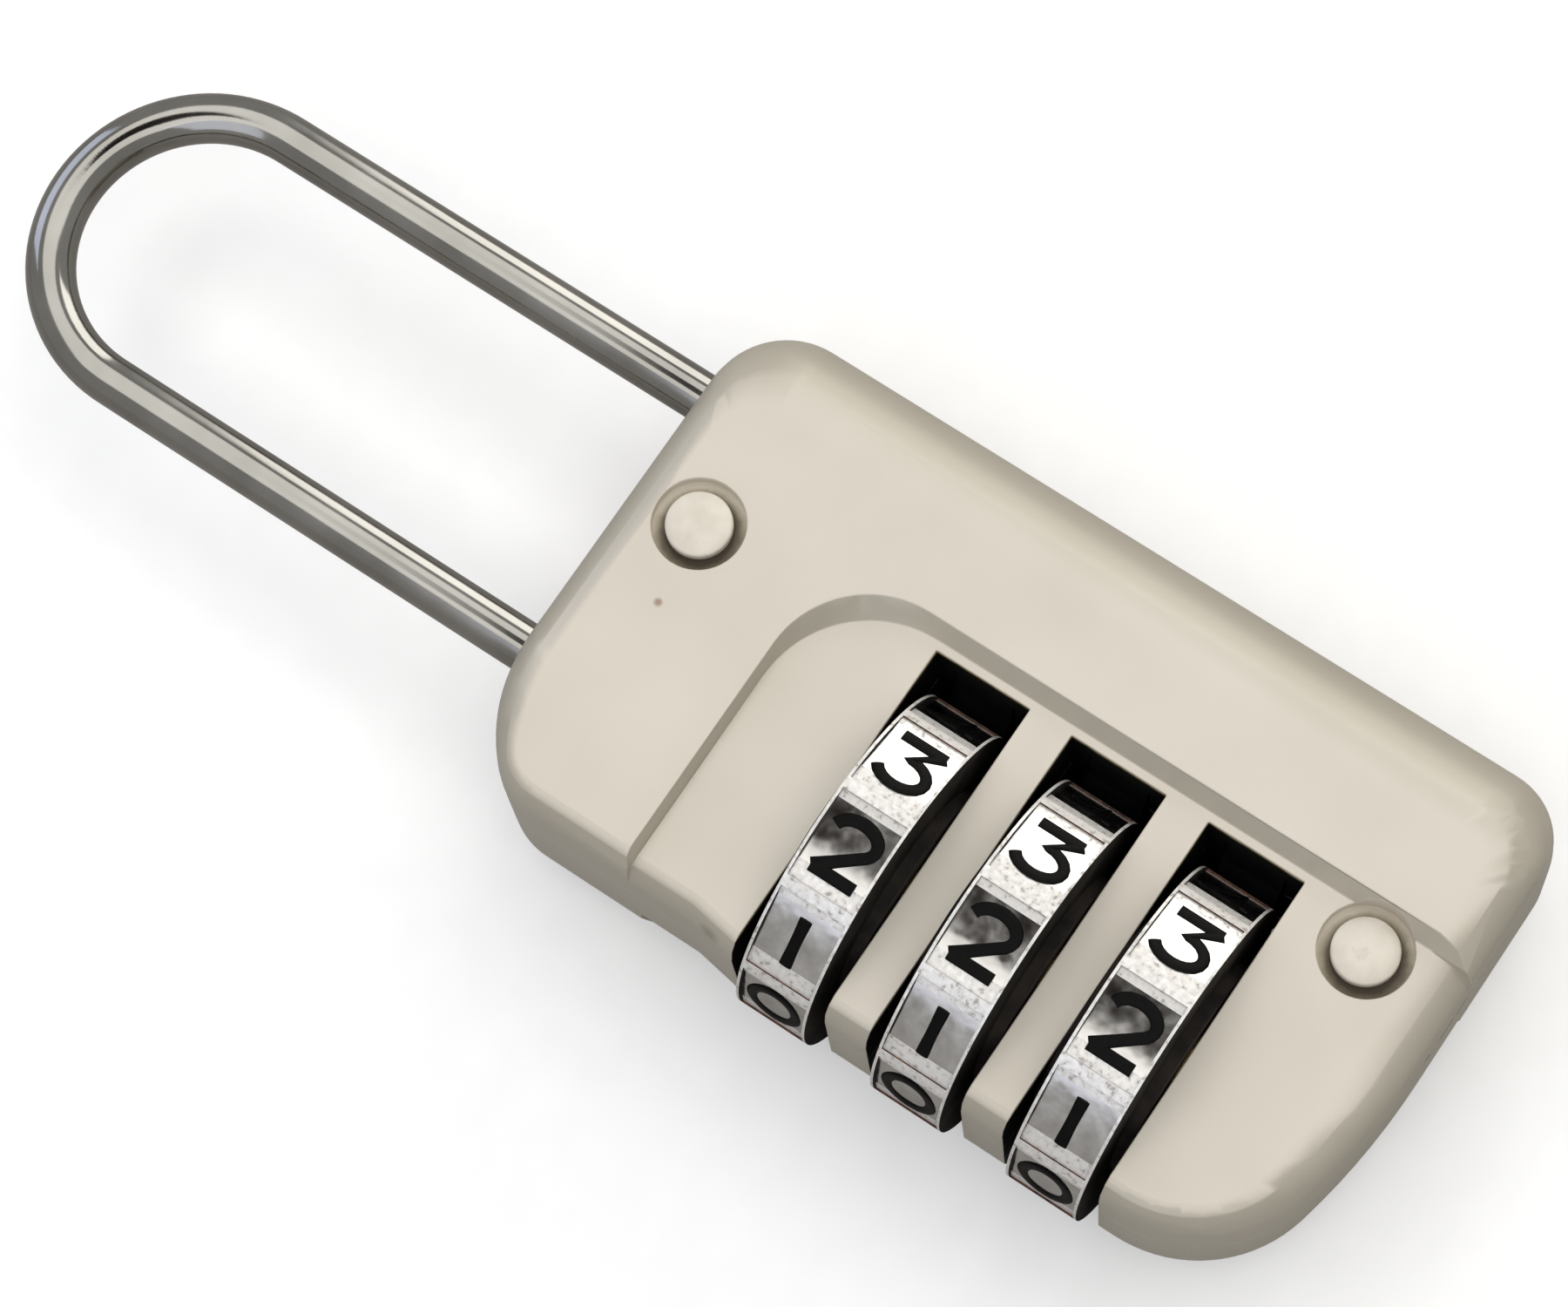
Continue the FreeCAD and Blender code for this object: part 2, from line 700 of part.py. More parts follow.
def tumbler(number):
    """A tumbler: sleeve with two keys, a gate for the fin and a chamber for the closed fin."""
    name = f"tumbler_{number + 1}"
    body = new_body(name)
    bottom, top = -half_tumbler, half_tumbler
    shoulder_top = slot_width / 2 - hub_gap
    corners = [
        (chamber_radius, bottom),
        (journal_radius, bottom),
        (journal_radius, body_bottom),
        (tumbler_radius, body_bottom),
        (tumbler_radius, shoulder_top),
        (journal_radius, shoulder_top),
        (journal_radius, top),
        (bore_radius, top),
        (bore_radius, bottom + chamber_length),
        (chamber_radius, bottom + chamber_length),
    ]
    revolved(body, f"{name}_turned", corners)
    half_key = key_width / 2
    key = closed_profile(
        sketch_on(body, f"{name}_key", "XZ_Plane", -key_start),
        [
            (-half_key, bore_radius + key_height),
            (half_key, bore_radius + key_height),
            (half_key, tumbler_radius + key_height),
            (-half_key, tumbler_radius + key_height),
        ],
    )
    key_pad = pad(body, key, f"{name}_key_pad", key_length)
    key_pad.Reversed = True
    ring_pattern(body, key_pad, f"{name}_keys", 2)
    half_gate = fin_width / 2 + running_gap
    gate = closed_profile(
        sketch_on(body, f"{name}_gate", "XZ_Plane", -top),
        [
            (ZERO, -half_gate),
            (chamber_radius, -half_gate),
            (chamber_radius, half_gate),
            (ZERO, half_gate),
        ],
    )
    pocket(body, gate, f"{name}_gate_cut", top - bottom)
    return place(body, axis_x, dial_y(number), axis_z)


def click_spring(number):
    """A bent strip in the right end of the slot; its nose rests in a number window."""
    name = f"click_spring_{number + 1}"
    half = leaf_span / 2
    foot = slot_right + leaf_seat - leaf_thickness - axis_x
    arm = foot - leaf_seat
    way = [
        (foot, -half),
        (arm, -leaf_bend),
        (nose_reach, -leaf_nose),
        (nose_reach, leaf_nose),
        (arm, leaf_bend),
        (foot, half),
    ]
    body = new_body(name)
    corners = [(x + leaf_thickness, z) for x, z in way] + list(reversed(way))
    sketch = closed_profile(sketch_on(body, f"{name}_sketch", "XZ_Plane"), corners)
    pad(body, sketch, f"{name}_pad", leaf_width, midplane=True)
    return place(body, axis_x, dial_y(number), leaf_middle_z)


def washer(name, start, end):
    """A flat ring on the spindle."""
    outer = rod_y(f"{name}_disc", journal_radius, start, end)
    inner = rod_y(f"{name}_hole", bore_radius, start, end)
    return cut(name, outer, inner)


def coil(name, radius, wire, start, length, turns):
    """A compression spring along Y; radius is to the middle of the wire.

    The wire is six-sided and runs straight from point to point, which is as fine as a spring
    sealed in the case needs to be.
    """
    rise = length.value - wire.value
    points = []
    for step in range(turns * COIL_POINTS + 1):
        angle = math.radians(360 * step / COIL_POINTS)
        along = rise * step / (turns * COIL_POINTS)
        points.append(V(radius.value * math.cos(angle), along, radius.value * math.sin(angle)))
    heading = (points[1] - points[0]).normalize()
    outwards = V(1, 0, 0)
    across = heading.cross(outwards).normalize()
    section = []
    for side in range(7):
        angle = math.radians(60 * side)
        offset = outwards * math.cos(angle) + across * math.sin(angle)
        section.append(points[0] + offset * (wire.value / 2))
    spine = Part.makePolygon(points)
    made = doc.addObject("Part::Feature", name)
    made.Shape = spine.makePipeShell([Part.makePolygon(section)], True, False, 1)
    return place(made, axis_x, start + wire / 2, axis_z)


def guide_pin():
    """The pin that stands in the bottom of the spring bore and keeps the lift spring straight."""
    return rod_y("spring_guide_pin", guide_radius, lift_floor - guide_foot, lift_floor + guide_reach)


def build():
    """Every piece of the lock, each under the name of its file."""
    nodes = cases()
    nodes += [rivet("upper_rivet", True), rivet("lower_rivet", False), shackle()]
    for number in range(DIALS):
        nodes += [dial(number), tumbler(number), click_spring(number)]
    nodes.append(washer("stop_washer", stop_face, stop_seat))
    nodes.append(washer("reset_washer", reset_bottom, reset_top))
    reset_radius = journal_radius - reset_wire / 2
    reset = (reset_radius, reset_wire, spindle_floor, reset_spring_length, RESET_TURNS)
    nodes.append(coil("reset_spring", *reset))
    lift_radius = rod_radius - lift_wire / 2 - running_gap
    lift = (lift_radius, lift_wire, lift_floor, lift_spring_length, LIFT_TURNS)
    nodes.append(coil("lift_spring", *lift))
    nodes.append(guide_pin())
    return nodes


def report_faults(nodes):
    """Stops before anything is written if a feature failed or a piece is not one good solid."""
    failed = [thing.Name for thing in doc.Objects if {"Invalid", "Error"} & set(thing.State)]
    if failed:
        raise RuntimeError(f"these failed: {failed}")
    bad = []
    for node in nodes:
        if node.Shape.isNull() or not node.Shape.isValid() or len(node.Shape.Solids) != 1:
            bad.append(node.Label)
    if bad:
        raise RuntimeError(f"these are not one good solid: {bad}")


nodes = build()
doc.recompute()
report_faults(nodes)
os.makedirs("parts", exist_ok=True)
for node in nodes:
    node.Shape.exportStep(f"parts/{node.Label}.step")
    print(f"{node.Label}: {node.Shape.Volume:.2f} mm3")
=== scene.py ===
"""Combination padlock with a champagne case, three plated number dials and a bright shackle."""
import json
import math

import bmesh
import bpy
from bpy.props import FloatProperty, FloatVectorProperty, IntProperty, PointerProperty
from mathutils import Matrix, Vector

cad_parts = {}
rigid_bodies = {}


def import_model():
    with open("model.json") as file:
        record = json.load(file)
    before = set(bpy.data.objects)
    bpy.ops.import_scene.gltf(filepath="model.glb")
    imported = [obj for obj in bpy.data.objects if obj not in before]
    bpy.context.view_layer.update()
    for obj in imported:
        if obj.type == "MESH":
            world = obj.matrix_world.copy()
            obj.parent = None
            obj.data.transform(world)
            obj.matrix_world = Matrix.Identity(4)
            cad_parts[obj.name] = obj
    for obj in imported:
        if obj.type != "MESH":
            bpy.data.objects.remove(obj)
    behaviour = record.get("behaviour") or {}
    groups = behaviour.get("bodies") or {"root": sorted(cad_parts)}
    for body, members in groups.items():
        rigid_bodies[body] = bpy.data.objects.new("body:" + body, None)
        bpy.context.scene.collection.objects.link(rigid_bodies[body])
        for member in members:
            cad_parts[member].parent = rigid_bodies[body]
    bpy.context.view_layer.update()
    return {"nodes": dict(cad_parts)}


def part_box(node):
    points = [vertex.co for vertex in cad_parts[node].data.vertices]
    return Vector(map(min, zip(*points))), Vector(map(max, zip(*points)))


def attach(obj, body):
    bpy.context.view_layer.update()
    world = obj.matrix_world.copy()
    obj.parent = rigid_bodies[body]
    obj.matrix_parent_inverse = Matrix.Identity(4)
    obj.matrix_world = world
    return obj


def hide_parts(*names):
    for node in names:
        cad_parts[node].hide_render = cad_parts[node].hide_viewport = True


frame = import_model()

bl_info = {
    "name": "Combination padlock",
    "version": (1, 0, 0),
    "blender": (4, 5, 0),
    "location": "View3D > Sidebar > Padlock",
    "description": "Builds a slim combination padlock over its packed CAD frame",
    "category": "Object",
}

MM = 0.001
DIALS = 3
DIGITS = 10

# Places that are read from the frame
DIAL_BOXES = [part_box(f"dial_{n}") for n in range(1, DIALS + 1)]
DIAL_CENTRES = [(low + high) / 2 for low, high in DIAL_BOXES]
AXIS = DIAL_CENTRES[0]
SHACKLE_LOW, SHACKLE_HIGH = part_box("shackle")
CASE_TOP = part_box("front_case")[1].y
FACE_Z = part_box("front_case")[1].z
RIVETS = ("upper_rivet", "lower_rivet")
RIVET_CENTRES = [sum(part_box(node), Vector()) / 2 for node in RIVETS]

# Material slots of the case and of a dial
LACQUER, WALL, GROOVE = range(3)
WINDOW, RIB, FLANK, GRIME = range(4)

# Radius of the shackle's bend by the spacing of its legs: just under half, so that the two
# quarter bends don't meet in one point
BEND_SHARE = 0.4999

# Points round a stroke of a numeral, and how high its middle lies by the swell of its window
STROKE_SIDES = 12
STROKE_RISE = 0.8

# Strips that a number window is cut into, and how many are dull at the numeral's head and foot
WINDOW_STRIPS = 10
WORN_HEAD = 1
WORN_FOOT = 2

# Corners sharper than these angles are rounded
CASE_SHARP = math.radians(32)
RIVET_SHARP = math.radians(40)
DIAL_SHARP = math.radians(25)
RIVET_EDGE = 0.12 * MM
EDGE_SEGMENTS = 3

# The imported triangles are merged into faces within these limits
MERGE_DISTANCE = 0.002 * MM
FLAT_ANGLE = math.radians(1.0)

# How faces of the case are told apart: level or steep by the upright part of their normal, how far
# past a slot its walls may lie, and how far below the front the floor of a rivet's groove begins
LEVEL = 0.999
STEEP = 0.5
SLOT_PLAY = 0.05 * MM
SUNK = 0.1 * MM

# How faces of a dial are told apart: by their normal, their distance from the axis and their height
FLANK_NORMAL = 0.8
HUB_SHARE = 0.9
STEP_NORMAL = 0.6
WINDOW_PLAY = 0.08 * MM

# The vertex attribute for the lean of the surface, and the lean at which the painted shade on
# the case's roundings is full
LEAN = "lean"
FULL_LEAN = 0.13

# Small marks on the lacquer: place and radius in millimetres, and colour. The first is a brown
# stain on the front; the second is painted shade on the left wall, where the side swells round
# the first dial. Each is strongest up to a share of its radius.
STAIN_AND_SHADE_SPOTS = [((-2.35, 1.05, 14.2), 0.28, "#8A6A55"), ((-14.3, -9.6, 12.0), 0.8, "#8F8775")]
SPOT_CORE = 0.35
SPOT_STRENGTH = 0.75


# Colours and node trees


def linear(code):
    """Turns an sRGB hex value such as #C8BFAE into linear red, green, blue and alpha."""
    values = [int(code[i:i + 2], 16) / 255 for i in (1, 3, 5)]
    return [v / 12.92 if v <= 0.04045 else ((v + 0.055) / 1.055) ** 2.4 for v in values] + [1.0]


def add(tree, kind, settings=None, **links):
    """Adds a node: settings are its own properties, links are its inputs as wire takes them."""
    node = tree.nodes.new(kind)
    for name, value in (settings or {}).items():
        setattr(node, name, value)
    wire(tree, node, **links)
    return node


def wire(tree, node, **links):
    """Gives a node's inputs a plain value or the output socket of another node.

    Base_Color is the input named Base Color, and i2 is the input with the number 2.
    """
    for name, value in links.items():
        key = int(name[1:]) if name[0] == "i" and name[1:].isdigit() else name.replace("_", " ")
        if isinstance(value, bpy.types.NodeSocket):
            tree.links.new(value, node.inputs[key])
        else:
            node.inputs[key].default_value = value


def new_material(name):
    """A material with an output and a plain Principled shader: material, tree and shader."""
    material = bpy.data.materials.new(name)
    material.use_nodes = True
    tree = material.node_tree
    tree.nodes.clear()
    shader = add(tree, "ShaderNodeBsdfPrincipled")
    add(tree, "ShaderNodeOutputMaterial", Surface=shader.outputs["BSDF"])
    return material, tree, shader


def noise(tree, size, detail, stretch=(1, 1, 1)):
    """Noise from 0 to 1 whose grains are about size metres across, on Object coordinates."""
    place = add(tree, "ShaderNodeTexCoord").outputs["Object"]
    scaled = add(tree, "ShaderNodeMapping", Vector=place, Scale=stretch).outputs["Vector"]
    grains = add(tree, "ShaderNodeTexNoise", Vector=scaled, Scale=1 / size, Detail=detail)
    return grains.outputs["Fac"]


def ramp(tree, value, stops):
    """A colour ramp from stops of place and hex colour."""
    node = add(tree, "ShaderNodeValToRGB", Fac=value)
    while len(node.color_ramp.elements) < len(stops):
        node.color_ramp.elements.new(0.5)
    for element, (place, code) in zip(node.color_ramp.elements, stops):
        element.position = place
        element.color = linear(code)
    return node.outputs["Color"]


def spread(tree, value, low, high, start=0.0, end=1.0):
    """Maps a value from low..high to start..end, held inside."""
    limits = {"From_Min": low, "From_Max": high, "To_Min": start, "To_Max": end}
    return add(tree, "ShaderNodeMapRange", Value=value, **limits).outputs["Result"]


def blend(tree, share, under, over, mode="MIX"):
    """Lays one colour over another by a share from 0 to 1.

    The colours of a Mix node are its inputs 6 and 7 and its output 2.
    """
    settings = {"data_type": "RGBA", "blend_type": mode}
    return add(tree, "ShaderNodeMix", settings, Factor=share, i6=under, i7=over).outputs[2]


def bump(tree, shader, height, distance, strength):
    """Gives the shader a bump of the height value, distance metres deep."""
    node = add(tree, "ShaderNodeBump", Height=height, Distance=distance, Strength=strength)
    wire(tree, shader, Normal=node.outputs["Normal"])


# Materials


def champagne_lacquer():
    """Satin champagne lacquer, sprayed over a zinc die casting.

    A fine metal flake under a soft clear coat gives wide, gentle bands of light and no mirror. The
    roundings are darkened towards an olive grey by the lean of the surface: painted shade. A real
    flake is finer than 0.1 mm and wouldn't show, so it is drawn a little coarser.
    """
    material, tree, shader = new_material("champagne_lacquer_on_die_cast_zinc")
    colours = bpy.context.scene.padlock_case
    tone = noise(tree, 9 * MM, 2.0)
    base = ramp(tree, tone, [(0.3, "#D2CABC"), (0.7, "#DAD2C5")])
    # Painted shade: the further the surface leans from the front or the back, the more olive grey
    lean = add(tree, "ShaderNodeAttribute", {"attribute_name": LEAN}).outputs["Fac"]
    rounding_shade_share = spread(tree, lean, 0.0, FULL_LEAN, 0.0, colours.rounding_shade)
    base = blend(tree, rounding_shade_share, base, linear("#A8A290"))
    place = add(tree, "ShaderNodeTexCoord").outputs["Object"]
    # A brown stain, and a spot of painted shade on the left wall beside the first dial
    for spot, radius, colour in STAIN_AND_SHADE_SPOTS:
        middle, core = Vector(spot) * MM, SPOT_CORE * radius * MM
        away = add(tree, "ShaderNodeVectorMath", {"operation": "DISTANCE"}, i0=place, i1=middle)
        mark = spread(tree, away.outputs["Value"], core, radius * MM, SPOT_STRENGTH, 0.0)
        base = blend(tree, mark, base, linear(colour))
    tinted = blend(tree, 1.0, base, list(colours.tint) + [1.0], "MULTIPLY")
    flake = spread(tree, noise(tree, 0.12 * MM, 1.0), 0.3, 0.7, 0.40, 0.48)
    wire(tree, shader, Base_Color=tinted, Metallic=0.22, Roughness=flake)
    wire(tree, shader, Coat_Weight=0.12, Coat_Roughness=0.28)
    bump(tree, shader, noise(tree, 0.7 * MM, 2.0), 0.012 * MM, 0.6)
    return material


def groove_dirt():
    """The grooves round the rivets: lacquer, darkened against one side by dirt and by painted
    shade.

    The dark part fades with the distance, across the front, from a point beside each rivet's
    middle.
    """
    material, tree, shader = new_material("dirt_in_the_rivet_grooves")
    place = add(tree, "ShaderNodeTexCoord").outputs["Object"]
    flat = add(tree, "ShaderNodeVectorMath", {"operation": "MULTIPLY"}, i0=place, i1=(1, 1, 0))
    flat = flat.outputs["Vector"]
    away = []
    for centre in RIVET_CENTRES:
        darkest_point = Vector((centre.x - 0.22 * MM, centre.y - 0.18 * MM, 0))
        reach = add(tree, "ShaderNodeVectorMath", {"operation": "DISTANCE"}, i0=flat, i1=darkest_point)
        away.append(reach.outputs["Value"])
    nearest = add(tree, "ShaderNodeMath", {"operation": "MINIMUM"}, i0=away[0], i1=away[1])
    nearest = nearest.outputs["Value"]
    clump, swing = noise(tree, 0.6 * MM, 3.0), 0.25 * MM
    uneven = add(
        tree, "ShaderNodeMath", {"operation": "MULTIPLY_ADD"}, i0=clump, i1=swing, i2=nearest
    )
    # Dirt and painted shade: darkest near a point beside each rivet's middle, lacquer further away
    fill = spread(tree, uneven.outputs["Value"], 1.75 * MM, 2.45 * MM)
    stops = [(0.0, "#4A4237"), (0.35, "#716858"), (0.7, "#ADA492"), (1.0, "#CFC6B6")]
    wire(tree, shader, Base_Color=ramp(tree, fill, stops), Roughness=0.6, Specular_IOR_Level=0.2)
    return material


def slot_wall():
    """The walls of the dial slots: painted shade, the lacquer colour darkening to black below the
    rim.
    """
    material, tree, shader = new_material("dark_zinc_in_the_dial_slots")
    place = add(tree, "ShaderNodeTexCoord").outputs["Object"]
    height = add(tree, "ShaderNodeSeparateXYZ", Vector=place).outputs["Z"]
    grain, swing = noise(tree, 1.5 * MM, 3.0), 0.4 * MM
    uneven = add(
        tree, "ShaderNodeMath", {"operation": "MULTIPLY_ADD"}, i0=grain, i1=swing, i2=height
    )
    # Painted shade: lacquer colour down to about 0.85 mm below the front, black from about 1.45 mm
    black_level, lacquer_level = FACE_Z - 1.45 * MM, FACE_Z - 0.85 * MM
    depth = spread(tree, uneven.outputs["Value"], black_level, lacquer_level)
    stops = [(0.0, "#050504"), (0.4, "#1D180F"), (0.75, "#A39670"), (1.0, "#D2C8B4")]
    wire(tree, shader, Base_Color=ramp(tree, depth, stops), Roughness=0.6, Specular_IOR_Level=0.2)
    return material


def bright_chrome():
    """Polished and chromed steel wire: a mirror with faint drawing lines along the rod.

    The lines are drawn coarser than real ones, which would be too fine to show.
    """
    material, tree, shader = new_material("bright_chrome_on_drawn_steel_wire")
    cloud = noise(tree, 5 * MM, 3.0)
    colour = ramp(tree, cloud, [(0.3, "#918F8A"), (0.7, "#A4A29D")])
    dullness = spread(tree, cloud, 0.35, 0.75, 0.09, 0.18)
    wire(tree, shader, Base_Color=colour, Metallic=1.0, Roughness=dullness)
    lines = noise(tree, 0.09 * MM, 2.0, (1, 0.02, 1))
    bump(tree, shader, lines, 0.004 * MM, 0.35)
    return material


def plated_window():
    """Chrome plate in the number windows: mirror bright, with casting ripples and wear."""
    material, tree, shader = new_material("chrome_plate_in_the_number_windows")
    cloud = noise(tree, 1.1 * MM, 3.0)
    colour = ramp(tree, cloud, [(0.3, "#BDBAB6"), (0.75, "#DCDAD7")])
    dullness = spread(tree, cloud, 0.3, 0.8, 0.10, 0.28)
    wire(tree, shader, Base_Color=colour, Metallic=1.0, Roughness=dullness)
    bump(tree, shader, noise(tree, 0.9 * MM, 1.0), 0.03 * MM, 0.5)
    return material


def plated_rib():
    """The same plate on the ribs and rims, dulled and speckled by fingers.

    The film of dirt takes the mirror away, so most of what shows is pale and only a third is metal.
    """
    material, tree, shader = new_material("worn_chrome_plate_on_the_ribs")
    speck = noise(tree, 0.28 * MM, 3.0)
    colour = ramp(tree, speck, [(0.3, "#A8A29C"), (0.42, "#DCD9D4"), (0.7, "#F0EEEA")])
    dullness = spread(tree, speck, 0.3, 0.7, 0.42, 0.26)
    wire(tree, shader, Base_Color=colour, Metallic=0.3, Roughness=dullness)
    bump(tree, shader, speck, 0.02 * MM, 0.5)
    return material


def dial_flank():
    """Flat sides of the dials, plate over a casting: painted shade, nearly black, as they lie deep
    in the slots.
    """
    material, tree, shader = new_material("stained_plate_on_the_dial_flanks")
    # Painted shade: the plated flanks are coloured nearly black
    colour = ramp(tree, noise(tree, 1.6 * MM, 4.0), [(0.3, "#12100F"), (0.8, "#322D28")])
    wire(tree, shader, Base_Color=colour, Roughness=0.75, Specular_IOR_Level=0.12)
    return material


def black_enamel():
    """Black enamel wiped into the numerals: dulled by fingers and slightly uneven."""
    material, tree, shader = new_material("black_enamel_of_the_numerals")
    colour = ramp(tree, noise(tree, 0.6 * MM, 2.0), [(0.3, "#030303"), (0.8, "#0C0A08")])
    wire(tree, shader, Base_Color=colour, Roughness=0.5, Specular_IOR_Level=0.1)
    return material


def brown_grime():
    """Brown dirt that fingers press into the steps beside the ribs."""
    material, tree, shader = new_material("brown_grime_beside_the_ribs")
    colour = ramp(tree, noise(tree, 0.4 * MM, 3.0), [(0.3, "#2B1A12"), (0.7, "#6B4636")])
    wire(tree, shader, Base_Color=colour, Roughness=0.7)
    return material


def rivet_metal():
    """Rivet ends, pressed flat and lacquered with the case: paler, with a worn crown."""
    material, tree, shader = new_material("lacquered_rivet_steel")
    wear = noise(tree, 1.3 * MM, 4.0)
    colour = ramp(tree, wear, [(0.35, "#D9D0C1"), (0.65, "#E4DDCF"), (0.85, "#C4BCAE")])
    wire(tree, shader, Base_Color=colour, Metallic=0.15, Roughness=0.5)
    bump(tree, shader, wear, 0.02 * MM, 0.5)
    return material


def turned_brass():
    """Brass as it leaves the lathe: fine rings round the axis and a warm shine."""
    material, tree, shader = new_material("turned_brass")
    rings = noise(tree, 0.2 * MM, 2.0, (0.05, 1, 0.05))
    colour = ramp(tree, rings, [(0.3, "#A98548"), (0.7, "#C7A662")])
    wire(tree, shader, Base_Color=colour, Metallic=1.0, Roughness=0.3)
    bump(tree, shader, rings, 0.01 * MM, 0.5)
    return material


def bright_steel():
    """Punched and cut steel of the washers and the pin: grey, with a light oil film."""
    material, tree, shader = new_material("oiled_bright_steel")
    film = noise(tree, 1.0 * MM, 3.0)
    colour = ramp(tree, film, [(0.3, "#86837E"), (0.7, "#A5A29D")])
    dullness = spread(tree, film, 0.3, 0.7, 0.28, 0.42)
    wire(tree, shader, Base_Color=colour, Metallic=1.0, Roughness=dullness)
    return material


def spring_steel():
    """Spring wire and strip, blued by its heat treatment: nearly black."""
    material, tree, shader = new_material("blued_spring_steel")
    colour = ramp(tree, noise(tree, 1.4 * MM, 3.0), [(0.3, "#15161A"), (0.7, "#26272B")])
    wire(tree, shader, Base_Color=colour, Metallic=0.8, Roughness=0.5)
    return material


# Pieces


def paint(piece, *materials):
    """Gives a piece its materials, in the order of its slots, and keeps the number of each face."""
    numbers = [face.material_index for face in piece.data.polygons]
    piece.data.materials.clear()
    for material in materials:
        piece.data.materials.append(material)
    piece.data.polygons.foreach_set("material_index", numbers)


def softened_copy(node, name, width, angle, choose=None, reshape=None):
    """A copy of a CAD node with its sharp edges rounded, as a new piece.

    The loose triangles are merged into flat faces first. choose gives a face its material number
    from its middle and its normal, and reshape may then add to the merged form.
    """
    mesh = frame["nodes"][node].data.copy()
    mesh.name = name
    form = bmesh.new()
    form.from_mesh(mesh)
    bmesh.ops.remove_doubles(form, verts=form.verts, dist=MERGE_DISTANCE)
    bmesh.ops.dissolve_limit(form, angle_limit=FLAT_ANGLE, verts=form.verts, edges=form.edges)
    for face in form.faces:
        face.smooth = True
        face.material_index = choose(face.calc_center_median(), face.normal) if choose else 0
    if reshape:
        reshape(form)
    form.to_mesh(mesh)
    form.free()
    piece = bpy.data.objects.new(name, mesh)
    bpy.context.scene.collection.objects.link(piece)
    edge = piece.modifiers.new("soft_edges", "BEVEL")
    edge.width = width
    edge.segments = EDGE_SEGMENTS
    edge.limit_method = "ANGLE"
    edge.angle_limit = angle
    edge.harden_normals = True
    edge.miter_outer = "MITER_ARC"
    shade = piece.modifiers.new("even_shading", "WEIGHTED_NORMAL")
    shade.keep_sharp = True
    settle(piece)
    mark_lean(piece.data)
    return piece


def settle(piece):
    """Turns what a piece's modifiers make of it into its plain mesh."""
    settled = bpy.context.evaluated_depsgraph_get()
    mesh = bpy.data.meshes.new_from_object(piece.evaluated_get(settled))
    piece.modifiers.clear()
    piece.data = mesh
    mesh.name = piece.name


def mark_lean(mesh):
    """Stores at each vertex how far the surface leans away from the front or the back."""
    level_faces = [face for face in mesh.polygons if abs(face.normal.z) > LEVEL]
    level = {number for face in level_faces for number in face.vertices}
    values = mesh.attributes.new(LEAN, "FLOAT", "POINT").data
    for vert in mesh.vertices:
        values[vert.index].value = 0.0 if vert.index in level else 1 - abs(vert.normal.z)


def stand_in(piece, node, body):
    """Lets a piece ride on its body in the place of the CAD node."""
    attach(piece, body)
    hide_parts(node)


def case_face(middle, normal):
    """Tells the walls of the dial slots and the rivets' grooves from the rest of the case."""
    settings = bpy.context.scene.padlock_case
    reach = settings.slot_width / 2 + SLOT_PLAY
    inside = any(abs(middle.y - centre.y) < reach for centre in DIAL_CENTRES)
    if inside and middle.x < settings.slot_end and abs(normal.z) < STEEP:
        return WALL
    near = any(math.dist(middle.xy, centre.xy) < settings.groove for centre in RIVET_CENTRES)
    return GROOVE if near and middle.z < FACE_Z - SUNK else LACQUER


class PadlockCase(bpy.types.PropertyGroup):
    """Sizes and colour of the case"""

    edge: FloatProperty(
        name="Edge", description="Rounding of the case edges", default=0.26 * MM, unit="LENGTH"
    )
    slot_width: FloatProperty(
        name="Slot width", description="Width of a dial slot", default=5.3 * MM, unit="LENGTH"
    )
    slot_end: FloatProperty(
        name="Slot end", description="Right end of the dial slots", default=3.6 * MM, unit="LENGTH"
    )
    groove: FloatProperty(
        name="Groove", description="Radius of a rivet's groove", default=2.35 * MM, unit="LENGTH"
    )
    # How much painted shade darkens the roundings of the case
    rounding_shade: FloatProperty(
        name="Thinning", description="How much the coat thins on the roundings", default=0.58, max=1
    )
    tint: FloatVectorProperty(
        name="Tint",
        description="Colour laid over the lacquer",
        default=(1, 1, 1),
        min=0,
        max=1,
        subtype="COLOR",
    )


class PadlockDials(bpy.types.PropertyGroup):
    """Sizes of the dials and their numerals"""

    edge: FloatProperty(
        name="Edge", description="Rounding of the plated edges", default=0.05 * MM, unit="LENGTH"
    )
    height: FloatProperty(
        name="Numeral height", description="Height of a numeral", default=3.5 * MM, unit="LENGTH"
    )
    width: FloatProperty(
        name="Numeral width", description="Width of a numeral", default=3.15 * MM, unit="LENGTH"
    )
    stroke: FloatProperty(
        name="Stroke", description="Width of the strokes", default=0.66 * MM, unit="LENGTH"
    )
    flatness: FloatProperty(
        name="Flatness", description="Height of a stroke by its width", default=0.25, min=0, max=1
    )
    swell: FloatProperty(
        name="Swell", description="Rise of a window in its middle", default=0.14 * MM, unit="LENGTH"
    )
    floor: FloatProperty(
        name="Window floor", description="Dial axis to the windows", default=8.2 * MM, unit="LENGTH"
    )
    phase: FloatProperty(
        name="Phase",
        description="Turn of numeral 0 from the front",
        default=math.radians(-81.8),
        subtype="ANGLE",
    )


